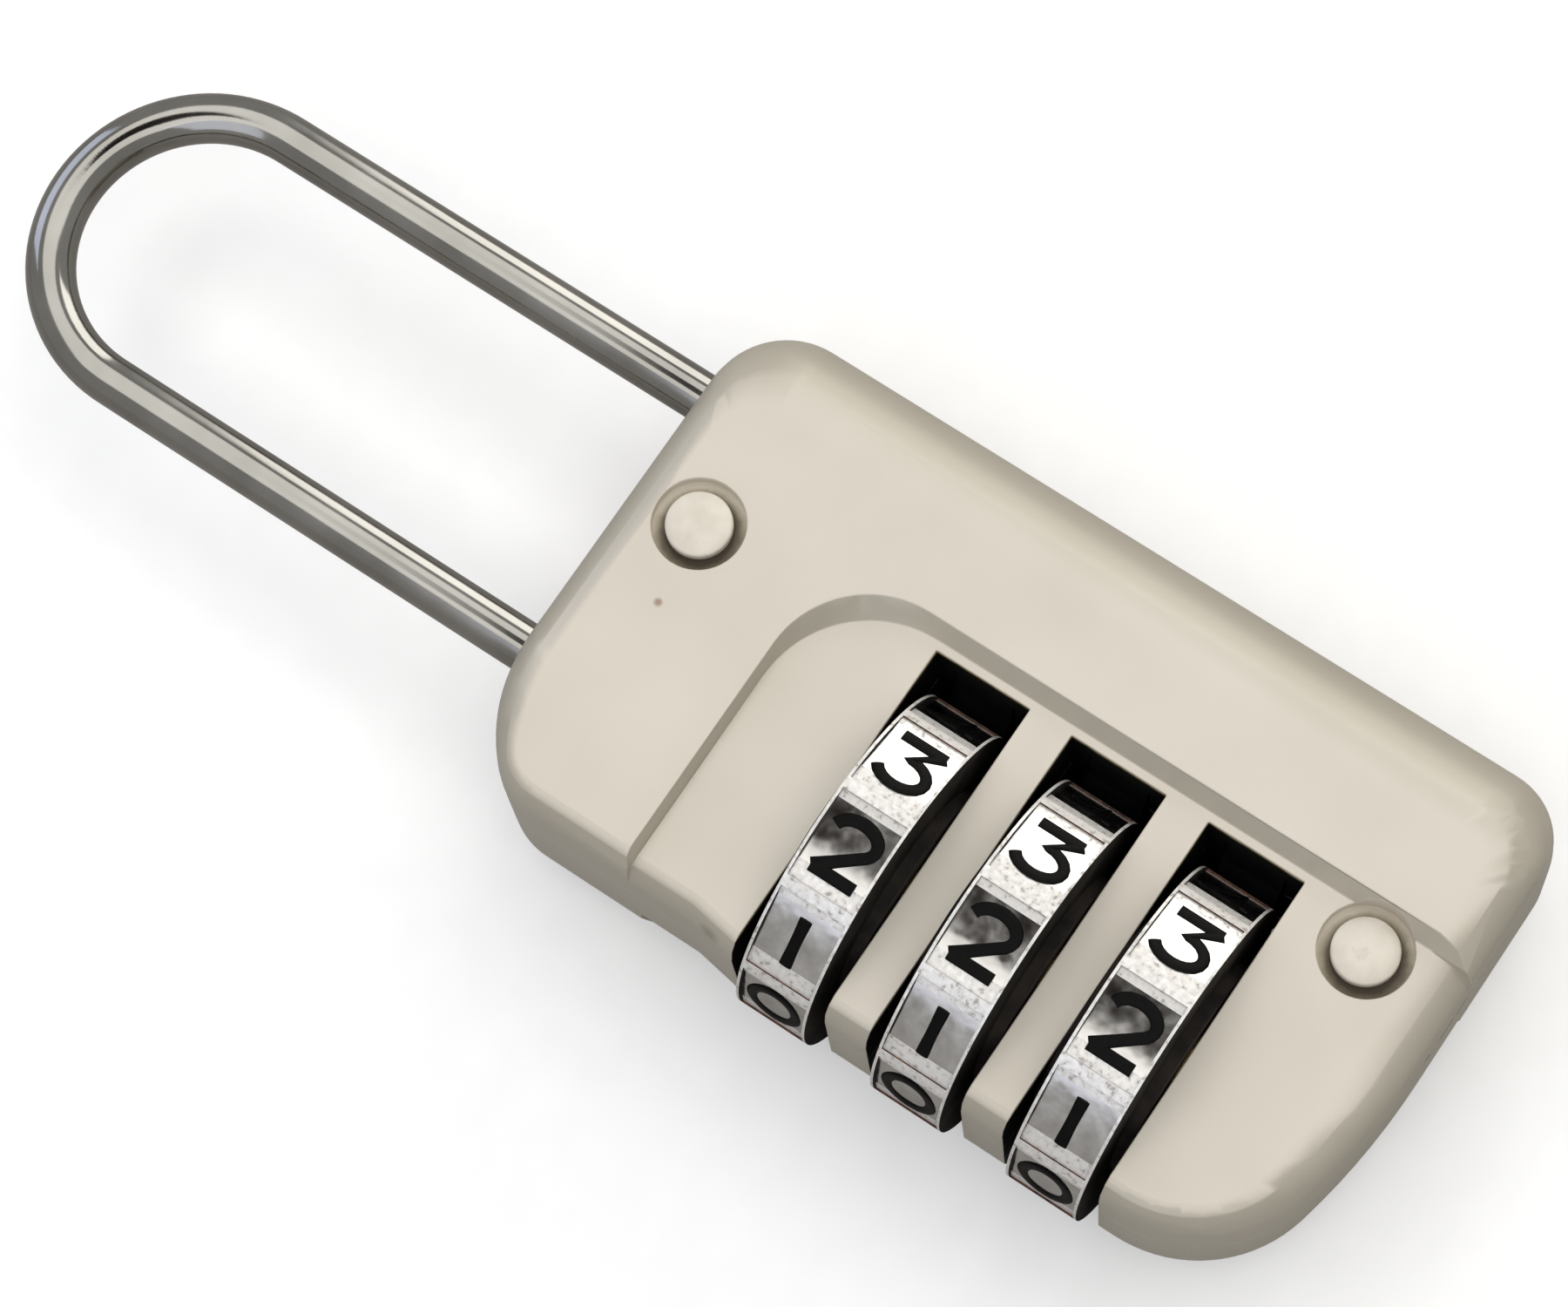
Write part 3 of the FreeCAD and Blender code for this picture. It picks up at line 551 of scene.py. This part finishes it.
class PadlockShackle(bpy.types.PropertyGroup):
    """Sizes of the shackle"""

    rod: FloatProperty(
        name="Rod", description="Radius of the rod", default=1.27 * MM, unit="LENGTH"
    )
    sides: IntProperty(name="Sides", description="Points round the rod", default=48, min=12)
    steps: IntProperty(name="Steps", description="Points along the whole rod", default=260, min=60)
    chamfer: FloatProperty(
        name="Chamfer", description="Chamfer of the legs' ends", default=0.3 * MM, unit="LENGTH"
    )
    toe: FloatProperty(
        name="Toe", description="Short leg inside the case", default=5.0 * MM, unit="LENGTH"
    )
    fin_reach: FloatProperty(
        name="Fin reach", description="Fin from the axis", default=2.6 * MM, unit="LENGTH"
    )
    fin_width: FloatProperty(
        name="Fin width", description="Fin across", default=1.3 * MM, unit="LENGTH"
    )
    fin_length: FloatProperty(
        name="Fin length", description="Fin along the rod", default=1.4 * MM, unit="LENGTH"
    )
    fin_place: FloatProperty(
        name="Fin place",
        description="Fin's middle below the middle of its dial",
        default=2.9 * MM,
        unit="LENGTH",
    )


class PadlockStage(bpy.types.PropertyGroup):
    """Floor, lights and camera"""

    floor: FloatProperty(name="Floor", description="Side of the floor", default=2.0, unit="LENGTH")
    ceiling: FloatProperty(
        name="Dark ceiling", description="Side of the dark ceiling", default=0.20, unit="LENGTH"
    )
    sky: FloatProperty(name="Sky", description="Strength of the even light all round", default=0.48)
    top: FloatProperty(name="Top light", description="Power of the light above", default=5.3)
    right: FloatProperty(
        name="Right light", description="Power of the light on the right", default=0.5
    )
    left: FloatProperty(
        name="Left light", description="Power of the light on the left", default=0.5
    )
    back: FloatProperty(
        name="Back light", description="Power of the light beyond the shackle", default=0.38
    )


class PADLOCK_OT_case(bpy.types.Operator):
    """Dress the two halves of the case and the rivets"""

    bl_idname = "padlock.case"
    bl_label = "Case"

    def execute(self, context):
        settings = context.scene.padlock_case
        lacquer, wall, dirt = champagne_lacquer(), slot_wall(), groove_dirt()
        for node in ("front_case", "back_case"):
            piece = softened_copy(node, f"{node}_lacquered", settings.edge, CASE_SHARP, case_face)
            paint(piece, lacquer, wall, dirt)
            stand_in(piece, node, "case")
        metal = rivet_metal()
        for node in RIVETS:
            piece = softened_copy(node, f"{node}_set", RIVET_EDGE, RIVET_SHARP)
            paint(piece, metal)
            stand_in(piece, node, "case")
        return {"FINISHED"}


class PADLOCK_OT_dials(bpy.types.Operator):
    """Dress the dials and put ten numerals in the windows of each"""

    bl_idname = "padlock.dials"
    bl_label = "Dials"

    def execute(self, context):
        settings = context.scene.padlock_dials
        windows, ribs, flanks, grime = plated_window(), plated_rib(), dial_flank(), brown_grime()
        enamel = black_enamel()
        numerals = numeral_curves(settings)
        tree = numeral_ring()
        for number, centre in enumerate(DIAL_CENTRES, 1):
            dial = f"dial_{number}"
            choose = dial_face(centre)
            piece = softened_copy(
                dial, f"{dial}_plated", settings.edge, DIAL_SHARP, choose, swollen_windows
            )
            paint(piece, windows, ribs, flanks, grime)
            stand_in(piece, dial, dial)
            ring = from_tree(
                f"{dial}_numerals",
                tree,
                {
                    "Digits": numerals,
                    "Axis": centre,
                    "Radius": settings.floor + STROKE_RISE * settings.swell,
                    "Phase": settings.phase,
                    "Stroke": settings.stroke,
                    "Flatness": settings.flatness,
                    "Material": enamel,
                },
            )
            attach(ring, dial)
        for curve in list(numerals.objects):
            bpy.data.objects.remove(curve)
        bpy.data.collections.remove(numerals)
        return {"FINISHED"}


def dial_face(centre):
    """Tells a dial's faces apart: windows, ribs, dark flanks with the hub, and rib steps."""

    def choose(middle, normal):
        out = Vector((middle.x - centre.x, 0, middle.z - centre.z))
        floor = bpy.context.scene.padlock_dials.floor
        if abs(normal.y) > FLANK_NORMAL or out.length < HUB_SHARE * floor:
            return FLANK
        if abs(normal.dot(out.normalized())) < STEP_NORMAL:
            return GRIME
        return WINDOW if abs(out.dot(normal) - floor) < WINDOW_PLAY else RIB

    return choose


def swollen_windows(form):
    """Makes the flat windows of a dial gently convex; their outermost strips belong to the ribs."""
    settings = bpy.context.scene.padlock_dials
    head, foot = 1 - 2 * WORN_HEAD / WINDOW_STRIPS, 2 * WORN_FOOT / WINDOW_STRIPS - 1
    for face in [face for face in form.faces if face.material_index == WINDOW]:
        middle, normal = face.calc_center_median(), face.normal.copy()
        along = Vector((0, 1, 0)).cross(normal).normalized()
        half = max(abs((vert.co - middle).dot(along)) for vert in face.verts)
        long_edges = []
        for edge in face.edges:
            start, end = edge.verts
            if abs((start.co - end.co).dot(along)) > half:
                long_edges.append(edge)
        cuts = bmesh.ops.subdivide_edges(
            form, edges=long_edges, cuts=WINDOW_STRIPS - 1, use_grid_fill=True
        )
        fresh = set(cuts["geom_inner"] + cuts["geom_split"])
        verts = [item for item in fresh if isinstance(item, bmesh.types.BMVert)]
        for vert in verts:
            share = (vert.co - middle).dot(along) / half
            vert.co += normal * settings.swell * max(1 - share * share, 0)
        for strip in {strip for vert in verts for strip in vert.link_faces}:
            if strip.material_index == WINDOW:
                share = (strip.calc_center_median() - middle).dot(along) / half
                strip.material_index = RIB if share > head or share < foot else WINDOW
    form.normal_update()


def arc(x, y, wide, high, start, end, steps=14):
    """Points of an elliptic arc; angles in degrees, anticlockwise from the right."""
    turns = [math.radians(start + (end - start) * i / steps) for i in range(steps + 1)]
    return [(x + wide * math.cos(a), y + high * math.sin(a)) for a in turns]


def numeral_strokes():
    """Strokes of each numeral in a box one wide and one high, from its lower left corner."""
    return [
        [arc(0.5, 0.5, 0.5, 0.5, 0, 360, 28)],
        [[(0.5, 0.0), (0.5, 1.0)]],
        [arc(0.5, 0.72, 0.47, 0.28, 170, -35) + [(0.04, 0.0)], [(0.04, 0.0), (1.0, 0.0)]],
        [
            [(0.02, 1.0), (0.98, 1.0)],
            [(0.98, 1.0), (0.42, 0.62)] + arc(0.46, 0.31, 0.5, 0.31, 90, -160),
        ],
        [[(0.72, 0.0), (0.72, 1.0), (0.0, 0.3), (1.0, 0.3)]],
        [[(0.92, 1.0), (0.15, 1.0), (0.08, 0.56)] + arc(0.48, 0.33, 0.5, 0.33, 140, -150)],
        [[(0.72, 1.0)] + arc(0.5, 0.32, 0.48, 0.32, 155, 515, 28)],
        [[(0.02, 1.0), (0.98, 1.0), (0.4, 0.0)]],
        [arc(0.5, 0.76, 0.4, 0.24, -90, 270, 22), arc(0.5, 0.26, 0.5, 0.26, 90, 450, 24)],
        [[(0.28, 0.0)] + arc(0.5, 0.68, 0.48, 0.32, -25, 335, 28)],
    ]


def numeral_curves(settings):
    """Each numeral as a curve, reading from the shackle end down with its top to the right."""
    group = bpy.data.collections.new("numeral_strokes")
    bpy.context.scene.collection.children.link(group)
    for digit, strokes in enumerate(numeral_strokes()):
        curve = bpy.data.curves.new(f"numeral_{digit}", "CURVE")
        curve.dimensions = "3D"
        for points in strokes:
            spline = curve.splines.new("POLY")
            spline.points.add(len(points) - 1)
            for point, (across, up) in zip(spline.points, points):
                x = (up - 0.5) * (settings.height - settings.stroke)
                y = (0.5 - across) * (settings.width - settings.stroke)
                point.co = (x, y, 0, 1)
        item = bpy.data.objects.new(f"numeral_{digit}", curve)
        group.objects.link(item)
    return group


def new_tree(name, inputs):
    """A Geometry Nodes tree with named inputs, and its group input and output nodes."""
    tree = bpy.data.node_groups.new(name, "GeometryNodeTree")
    tree.interface.new_socket("Geometry", in_out="OUTPUT", socket_type="NodeSocketGeometry")
    for label, kind in inputs:
        tree.interface.new_socket(label, in_out="INPUT", socket_type=kind)
    return tree, tree.nodes.new("NodeGroupInput"), tree.nodes.new("NodeGroupOutput")


def end_tree(tree, geometry, material, output):
    """Every tree ends in real geometry with its material."""
    real = add(tree, "GeometryNodeRealizeInstances", Geometry=geometry).outputs["Geometry"]
    smooth = add(tree, "GeometryNodeSetShadeSmooth", Geometry=real).outputs["Geometry"]
    painted = add(tree, "GeometryNodeSetMaterial", Geometry=smooth, Material=material)
    wire(tree, output, Geometry=painted.outputs["Geometry"])


def numeral_ring():
    """Ten numerals round the dial's axis, each drawn flat on its window as a low rounded stroke."""
    inputs = [
        ("Digits", "NodeSocketCollection"),
        ("Axis", "NodeSocketVector"),
        ("Radius", "NodeSocketFloat"),
        ("Phase", "NodeSocketFloat"),
        ("Stroke", "NodeSocketFloat"),
        ("Flatness", "NodeSocketFloat"),
        ("Material", "NodeSocketMaterial"),
    ]
    tree, given, output = new_tree("numeral_ring", inputs)
    index = add(tree, "GeometryNodeInputIndex").outputs["Index"]
    step = 2 * math.pi / DIGITS
    phase = given.outputs["Phase"]
    turned = add(tree, "ShaderNodeMath", {"operation": "MULTIPLY_ADD"}, i0=index, i1=step, i2=phase)
    angle = turned.outputs["Value"]
    across = add(tree, "ShaderNodeMath", {"operation": "SINE"}, i0=angle).outputs["Value"]
    upward = add(tree, "ShaderNodeMath", {"operation": "COSINE"}, i0=angle).outputs["Value"]
    outward = add(tree, "ShaderNodeCombineXYZ", X=across, Z=upward).outputs["Vector"]
    radius, centre = given.outputs["Radius"], given.outputs["Axis"]
    reach = add(tree, "ShaderNodeVectorMath", {"operation": "SCALE"}, i0=outward, Scale=radius)
    reach = reach.outputs["Vector"]
    place = add(tree, "ShaderNodeVectorMath", {"operation": "ADD"}, i0=reach, i1=centre)
    points = add(tree, "GeometryNodePoints", Count=DIGITS, Position=place.outputs["Vector"])
    digits = add(
        tree,
        "GeometryNodeCollectionInfo",
        Collection=given.outputs["Digits"],
        Separate_Children=True,
        Reset_Children=True,
    )
    turn = add(tree, "ShaderNodeCombineXYZ", Y=angle).outputs["Vector"]
    spun = add(
        tree,
        "GeometryNodeInstanceOnPoints",
        Points=points.outputs["Geometry"],
        Instance=digits.outputs["Instances"],
        Pick_Instance=True,
        Instance_Index=index,
        Rotation=turn,
    )
    spun = spun.outputs["Instances"]
    upright = add(tree, "GeometryNodeSetCurveNormal", {"mode": "Z_UP"}, Curve=spun)
    stroke, flatness = given.outputs["Stroke"], given.outputs["Flatness"]
    width = add(tree, "ShaderNodeMath", {"operation": "MULTIPLY"}, i0=stroke, i1=0.5)
    width = width.outputs["Value"]
    height = add(tree, "ShaderNodeMath", {"operation": "MULTIPLY"}, i0=width, i1=flatness)
    size = add(tree, "ShaderNodeCombineXYZ", X=width, Y=height.outputs["Value"]).outputs["Vector"]
    circle = add(tree, "GeometryNodeCurvePrimitiveCircle", Resolution=STROKE_SIDES, Radius=1.0)
    profile = add(tree, "GeometryNodeTransform", Geometry=circle.outputs["Curve"], Scale=size)
    tube = add(
        tree,
        "GeometryNodeCurveToMesh",
        Curve=upright.outputs["Curve"],
        Profile_Curve=profile.outputs["Geometry"],
        Fill_Caps=True,
    )
    end_tree(tree, tube.outputs["Mesh"], given.outputs["Material"], output)
    return tree


def from_tree(name, tree, values):
    """Runs a Geometry Nodes tree once and keeps its result as a plain mesh."""
    holder = bpy.data.objects.new(name, bpy.data.meshes.new(name))
    bpy.context.scene.collection.objects.link(holder)
    modifier = holder.modifiers.new(name, "NODES")
    modifier.node_group = tree
    items = [item for item in tree.interface.items_tree if item.in_out == "INPUT"]
    sockets = {item.name: item.identifier for item in items}
    for label, value in values.items():
        modifier[sockets[label]] = tuple(value) if isinstance(value, Vector) else value
    settle(holder)
    return holder


def bent_rod():
    """A rod bent into a U in the XY plane, chamfered at both ends, with a fin beside each dial."""
    inputs = [
        ("Heel", "NodeSocketVector"),
        ("Toe", "NodeSocketVector"),
        ("Top", "NodeSocketFloat"),
        ("Rod", "NodeSocketFloat"),
        ("Chamfer", "NodeSocketFloat"),
        ("Sides", "NodeSocketInt"),
        ("Steps", "NodeSocketInt"),
        ("Fin", "NodeSocketVector"),
        ("First fin", "NodeSocketVector"),
        ("Fin step", "NodeSocketVector"),
        ("Material", "NodeSocketMaterial"),
    ]
    tree, given, output = new_tree("bent_rod", inputs)
    heel, toe, top = (given.outputs[name] for name in ("Heel", "Toe", "Top"))
    rod, chamfer, sides = (given.outputs[name] for name in ("Rod", "Chamfer", "Sides"))
    heel_parts = add(tree, "ShaderNodeSeparateXYZ", Vector=heel)
    toe_parts = add(tree, "ShaderNodeSeparateXYZ", Vector=toe)
    right, left = toe_parts.outputs["X"], heel_parts.outputs["X"]
    spacing = add(tree, "ShaderNodeMath", {"operation": "SUBTRACT"}, i0=right, i1=left)
    spacing = spacing.outputs["Value"]
    radius = add(tree, "ShaderNodeMath", {"operation": "MULTIPLY"}, i0=spacing, i1=BEND_SHARE)
    corners = [heel]
    for parts in (heel_parts, toe_parts):
        x, z = parts.outputs["X"], parts.outputs["Z"]
        corners.append(add(tree, "ShaderNodeCombineXYZ", X=x, Y=top, Z=z).outputs["Vector"])
    corners.append(toe)
    index = add(tree, "GeometryNodeInputIndex").outputs["Index"]
    pick = add(tree, "GeometryNodeIndexSwitch", {"data_type": "VECTOR"}, Index=index)
    while len(pick.index_switch_items) < len(corners):
        pick.index_switch_items.new()
    for number, corner in enumerate(corners):
        tree.links.new(corner, pick.inputs[str(number)])
    points = add(tree, "GeometryNodePoints", Count=len(corners), Position=pick.outputs["Output"])
    path = add(tree, "GeometryNodePointsToCurves", Points=points.outputs["Geometry"])
    steps = given.outputs["Steps"]
    bend = add(
        tree,
        "GeometryNodeFilletCurve",
        {"mode": "POLY"},
        Curve=path.outputs["Curves"],
        Count=steps,
        Radius=radius.outputs["Value"],
        Limit_Radius=True,
    )
    even = add(tree, "GeometryNodeResampleCurve", Curve=bend.outputs["Curve"], Count=steps)
    ring = add(tree, "GeometryNodeCurvePrimitiveCircle", Resolution=sides, Radius=rod)
    tube = add(
        tree,
        "GeometryNodeCurveToMesh",
        Curve=even.outputs["Curve"],
        Profile_Curve=ring.outputs["Curve"],
        Fill_Caps=True,
    )
    tip = add(tree, "ShaderNodeMath", {"operation": "SUBTRACT"}, i0=rod, i1=chamfer)
    tip = tip.outputs["Value"]
    tapered = {"Vertices": sides, "Radius_Top": tip, "Radius_Bottom": rod, "Depth": chamfer}
    cone = add(tree, "GeometryNodeMeshCone", **tapered)
    along_rod = (math.radians(90), 0, 0)
    ends = []
    for end in (heel, toe):
        placed = {"Geometry": cone.outputs["Mesh"], "Translation": end, "Rotation": along_rod}
        ends.append(add(tree, "GeometryNodeTransform", **placed).outputs["Geometry"])
    fin = add(tree, "GeometryNodeMeshCube", Size=given.outputs["Fin"])
    first, step = given.outputs["First fin"], given.outputs["Fin step"]
    line = add(tree, "GeometryNodeMeshLine", Count=DIALS, Start_Location=first, Offset=step)
    line, fin = line.outputs["Mesh"], fin.outputs["Mesh"]
    fins = add(tree, "GeometryNodeInstanceOnPoints", Points=line, Instance=fin)
    whole = add(tree, "GeometryNodeJoinGeometry")
    for part in [tube.outputs["Mesh"], fins.outputs["Instances"]] + ends:
        tree.links.new(part, whole.inputs["Geometry"])
    end_tree(tree, whole.outputs["Geometry"], given.outputs["Material"], output)
    return tree


class PADLOCK_OT_shackle(bpy.types.Operator):
    """Bend the chromed rod of the shackle"""

    bl_idname = "padlock.shackle"
    bl_label = "Shackle"

    def execute(self, context):
        settings = context.scene.padlock_shackle
        chamfer = settings.chamfer
        heel_x = SHACKLE_LOW.x + settings.rod
        toe_y = CASE_TOP - settings.toe + chamfer
        first_fin = AXIS.y - settings.fin_place
        piece = from_tree(
            "shackle_chromed",
            bent_rod(),
            {
                "Heel": Vector((heel_x, SHACKLE_LOW.y + chamfer, AXIS.z)),
                "Toe": Vector((SHACKLE_HIGH.x - settings.rod, toe_y, AXIS.z)),
                "Top": SHACKLE_HIGH.y - settings.rod,
                "Rod": settings.rod,
                "Chamfer": chamfer,
                "Sides": settings.sides,
                "Steps": settings.steps,
                "Fin": Vector((settings.fin_reach, settings.fin_length, settings.fin_width)),
                "First fin": Vector((heel_x + settings.fin_reach / 2, first_fin, AXIS.z)),
                "Fin step": DIAL_CENTRES[1] - DIAL_CENTRES[0],
                "Material": bright_chrome(),
            },
        )
        stand_in(piece, "shackle", "shackle")
        return {"FINISHED"}


class PADLOCK_OT_inside(bpy.types.Operator):
    """Finish the pieces that turn and slide inside the case"""

    bl_idname = "padlock.inside"
    bl_label = "Inside"

    def execute(self, context):
        brass, steel, spring = turned_brass(), bright_steel(), spring_steel()
        for number in range(1, DIALS + 1):
            paint(frame["nodes"][f"tumbler_{number}"], brass)
            paint(frame["nodes"][f"click_spring_{number}"], spring)
        for node in ("stop_washer", "reset_washer", "spring_guide_pin"):
            paint(frame["nodes"][node], steel)
        for node in ("reset_spring", "lift_spring"):
            paint(frame["nodes"][node], spring)
        return {"FINISHED"}


# Stage

# The camera that was fitted to the photograph: the roll of the picture, its width and focal length
# in pixels, and the camera's place and its turns about X, Y and Z in radians
PHOTO_ROLL = math.radians(58.1)
PHOTO_WIDTH = 1800
PHOTO_FOCUS = 5719.0
CAMERA_PLACE = Vector((-50.15, -54.74, 239.19)) * MM
CAMERA_TURN = (-0.2159, 0.2095, -0.0546)
SENSOR_WIDTH = 36

# Name, place, size and colour of each light; its power is the stage property of the same name
LIGHTS = [
    ("top", (0.03, 0.0, 0.85), 1.15, "#FFFEFB"),
    ("right", (0.40, 0.04, 0.17), 0.26, "#FFFDF8"),
    ("left", (-0.42, -0.05, 0.34), 0.40, "#E3EAFF"),
    ("back", (0.06, 0.50, 0.20), 0.30, "#D3DFFF"),
]

# The dark ceiling hangs above the camera, and the floor glows a little for the camera alone
CEILING_PLACE = (-0.015, 0.05, 0.50)
FLOOR_GLOW = 0.14


def soft_light(name, place, size, power, colour):
    """A square area light that faces the lock."""
    data = bpy.data.lights.new(name, "AREA")
    data.energy = power
    data.size = size
    data.color = linear(colour)[:3]
    item = bpy.data.objects.new(name, data)
    item.location = place
    item.rotation_euler = (-Vector(place)).to_track_quat("-Z", "Y").to_euler()
    bpy.context.scene.collection.objects.link(item)


def floor_material():
    """Plain card: near white as the camera sees it, greyer in the reflections on the lock."""
    material, tree, shader = new_material("plain_pale_card")
    fibre = noise(tree, 2 * MM, 3.0)
    seen = add(tree, "ShaderNodeLightPath").outputs["Is Camera Ray"]
    grey = ramp(tree, fibre, [(0.3, "#A5A29E"), (0.7, "#ACA9A5")])
    white = ramp(tree, fibre, [(0.3, "#F7F7F6"), (0.7, "#FAFAF9")])
    colour = blend(tree, seen, grey, white)
    wire(tree, shader, Base_Color=colour, Roughness=0.7, Specular_IOR_Level=0.0)
    glow = spread(tree, seen, 0.0, 1.0, 0.0, FLOOR_GLOW)
    wire(tree, shader, Emission_Color=linear("#FFFFFF"), Emission_Strength=glow)
    return material


def flat_sheet(name, centre, half, material):
    """A level square of the stage."""
    mesh = bpy.data.meshes.new(name)
    signs = [(-1, -1), (1, -1), (1, 1), (-1, 1)]
    x, y, z = centre
    mesh.from_pydata([(x + i * half, y + j * half, z) for i, j in signs], [], [(0, 1, 2, 3)])
    sheet = bpy.data.objects.new(name, mesh)
    bpy.context.scene.collection.objects.link(sheet)
    paint(sheet, material)


def dark_ceiling():
    """The dark room above the camera, which the level parts of the plate mirror."""
    material, tree, shader = new_material("dark_brown_felt")
    wire(tree, shader, Base_Color=linear("#2E2622"), Roughness=0.9)
    return material


def place_camera():
    """The camera of the photograph, with its roll."""
    turn = (
        Matrix.Rotation(CAMERA_TURN[2], 3, "Z")
        @ Matrix.Rotation(CAMERA_TURN[1], 3, "Y")
        @ Matrix.Rotation(CAMERA_TURN[0], 3, "X")
    )
    to_camera = Matrix.Rotation(PHOTO_ROLL, 3, "Z") @ turn
    data = bpy.data.cameras.new("photo_camera")
    data.sensor_width = SENSOR_WIDTH
    data.lens = PHOTO_FOCUS / PHOTO_WIDTH * SENSOR_WIDTH
    data.clip_start = 0.01
    camera = bpy.data.objects.new("photo_camera", data)
    camera.matrix_world = Matrix.Translation(CAMERA_PLACE) @ to_camera.transposed().to_4x4()
    bpy.context.scene.collection.objects.link(camera)
    bpy.context.scene.camera = camera


class PADLOCK_OT_stage(bpy.types.Operator):
    """Set the floor, the lights, the white background and the camera"""

    bl_idname = "padlock.stage"
    bl_label = "Stage"

    def execute(self, context):
        settings = context.scene.padlock_stage
        flat_sheet("floor", (0, 0, 0), settings.floor / 2, floor_material())
        flat_sheet("dark_ceiling", CEILING_PLACE, settings.ceiling / 2, dark_ceiling())
        for name, place, size, colour in LIGHTS:
            soft_light(f"{name}_light", place, size, getattr(settings, name), colour)
        world = bpy.data.worlds.new("studio")
        world.use_nodes = True
        tree = world.node_tree
        # The camera sees the background at full strength, and the lock gets the strength of sky
        seen = add(tree, "ShaderNodeLightPath").outputs["Is Camera Ray"]
        strength = spread(tree, seen, 0.0, 1.0, settings.sky, 1.0)
        wire(tree, tree.nodes["Background"], Color=linear("#F6F5F3"), Strength=strength)
        context.scene.world = world
        context.scene.view_settings.view_transform = "Standard"
        place_camera()
        return {"FINISHED"}


class PADLOCK_PT_panel(bpy.types.Panel):
    """Buttons for each group of pieces, with their sizes"""

    bl_idname = "PADLOCK_PT_panel"
    bl_label = "Combination padlock"
    bl_space_type = "VIEW_3D"
    bl_region_type = "UI"
    bl_category = "Padlock"

    def draw(self, context):
        for operator, group in OPERATORS:
            self.layout.operator(operator)
            if group:
                settings = getattr(context.scene, group)
                for name in settings.bl_rna.properties.keys():
                    if name not in ("rna_type", "name"):
                        self.layout.prop(settings, name)


OPERATORS = [
    ("padlock.case", "padlock_case"),
    ("padlock.dials", "padlock_dials"),
    ("padlock.shackle", "padlock_shackle"),
    ("padlock.inside", None),
    ("padlock.stage", "padlock_stage"),
]
GROUPS = {
    "padlock_case": PadlockCase,
    "padlock_dials": PadlockDials,
    "padlock_shackle": PadlockShackle,
    "padlock_stage": PadlockStage,
}
CLASSES = list(GROUPS.values()) + [
    PADLOCK_OT_case,
    PADLOCK_OT_dials,
    PADLOCK_OT_shackle,
    PADLOCK_OT_inside,
    PADLOCK_OT_stage,
    PADLOCK_PT_panel,
]


def register():
    for item in CLASSES:
        bpy.utils.register_class(item)
    for name, group in GROUPS.items():
        setattr(bpy.types.Scene, name, PointerProperty(type=group))


def unregister():
    for name in GROUPS:
        delattr(bpy.types.Scene, name)
    for item in reversed(CLASSES):
        bpy.utils.unregister_class(item)


def main():
    register()
    for operator, _ in OPERATORS:
        family, action = operator.split(".")
        getattr(getattr(bpy.ops, family), action)()


if __name__ == "__main__":
    main()
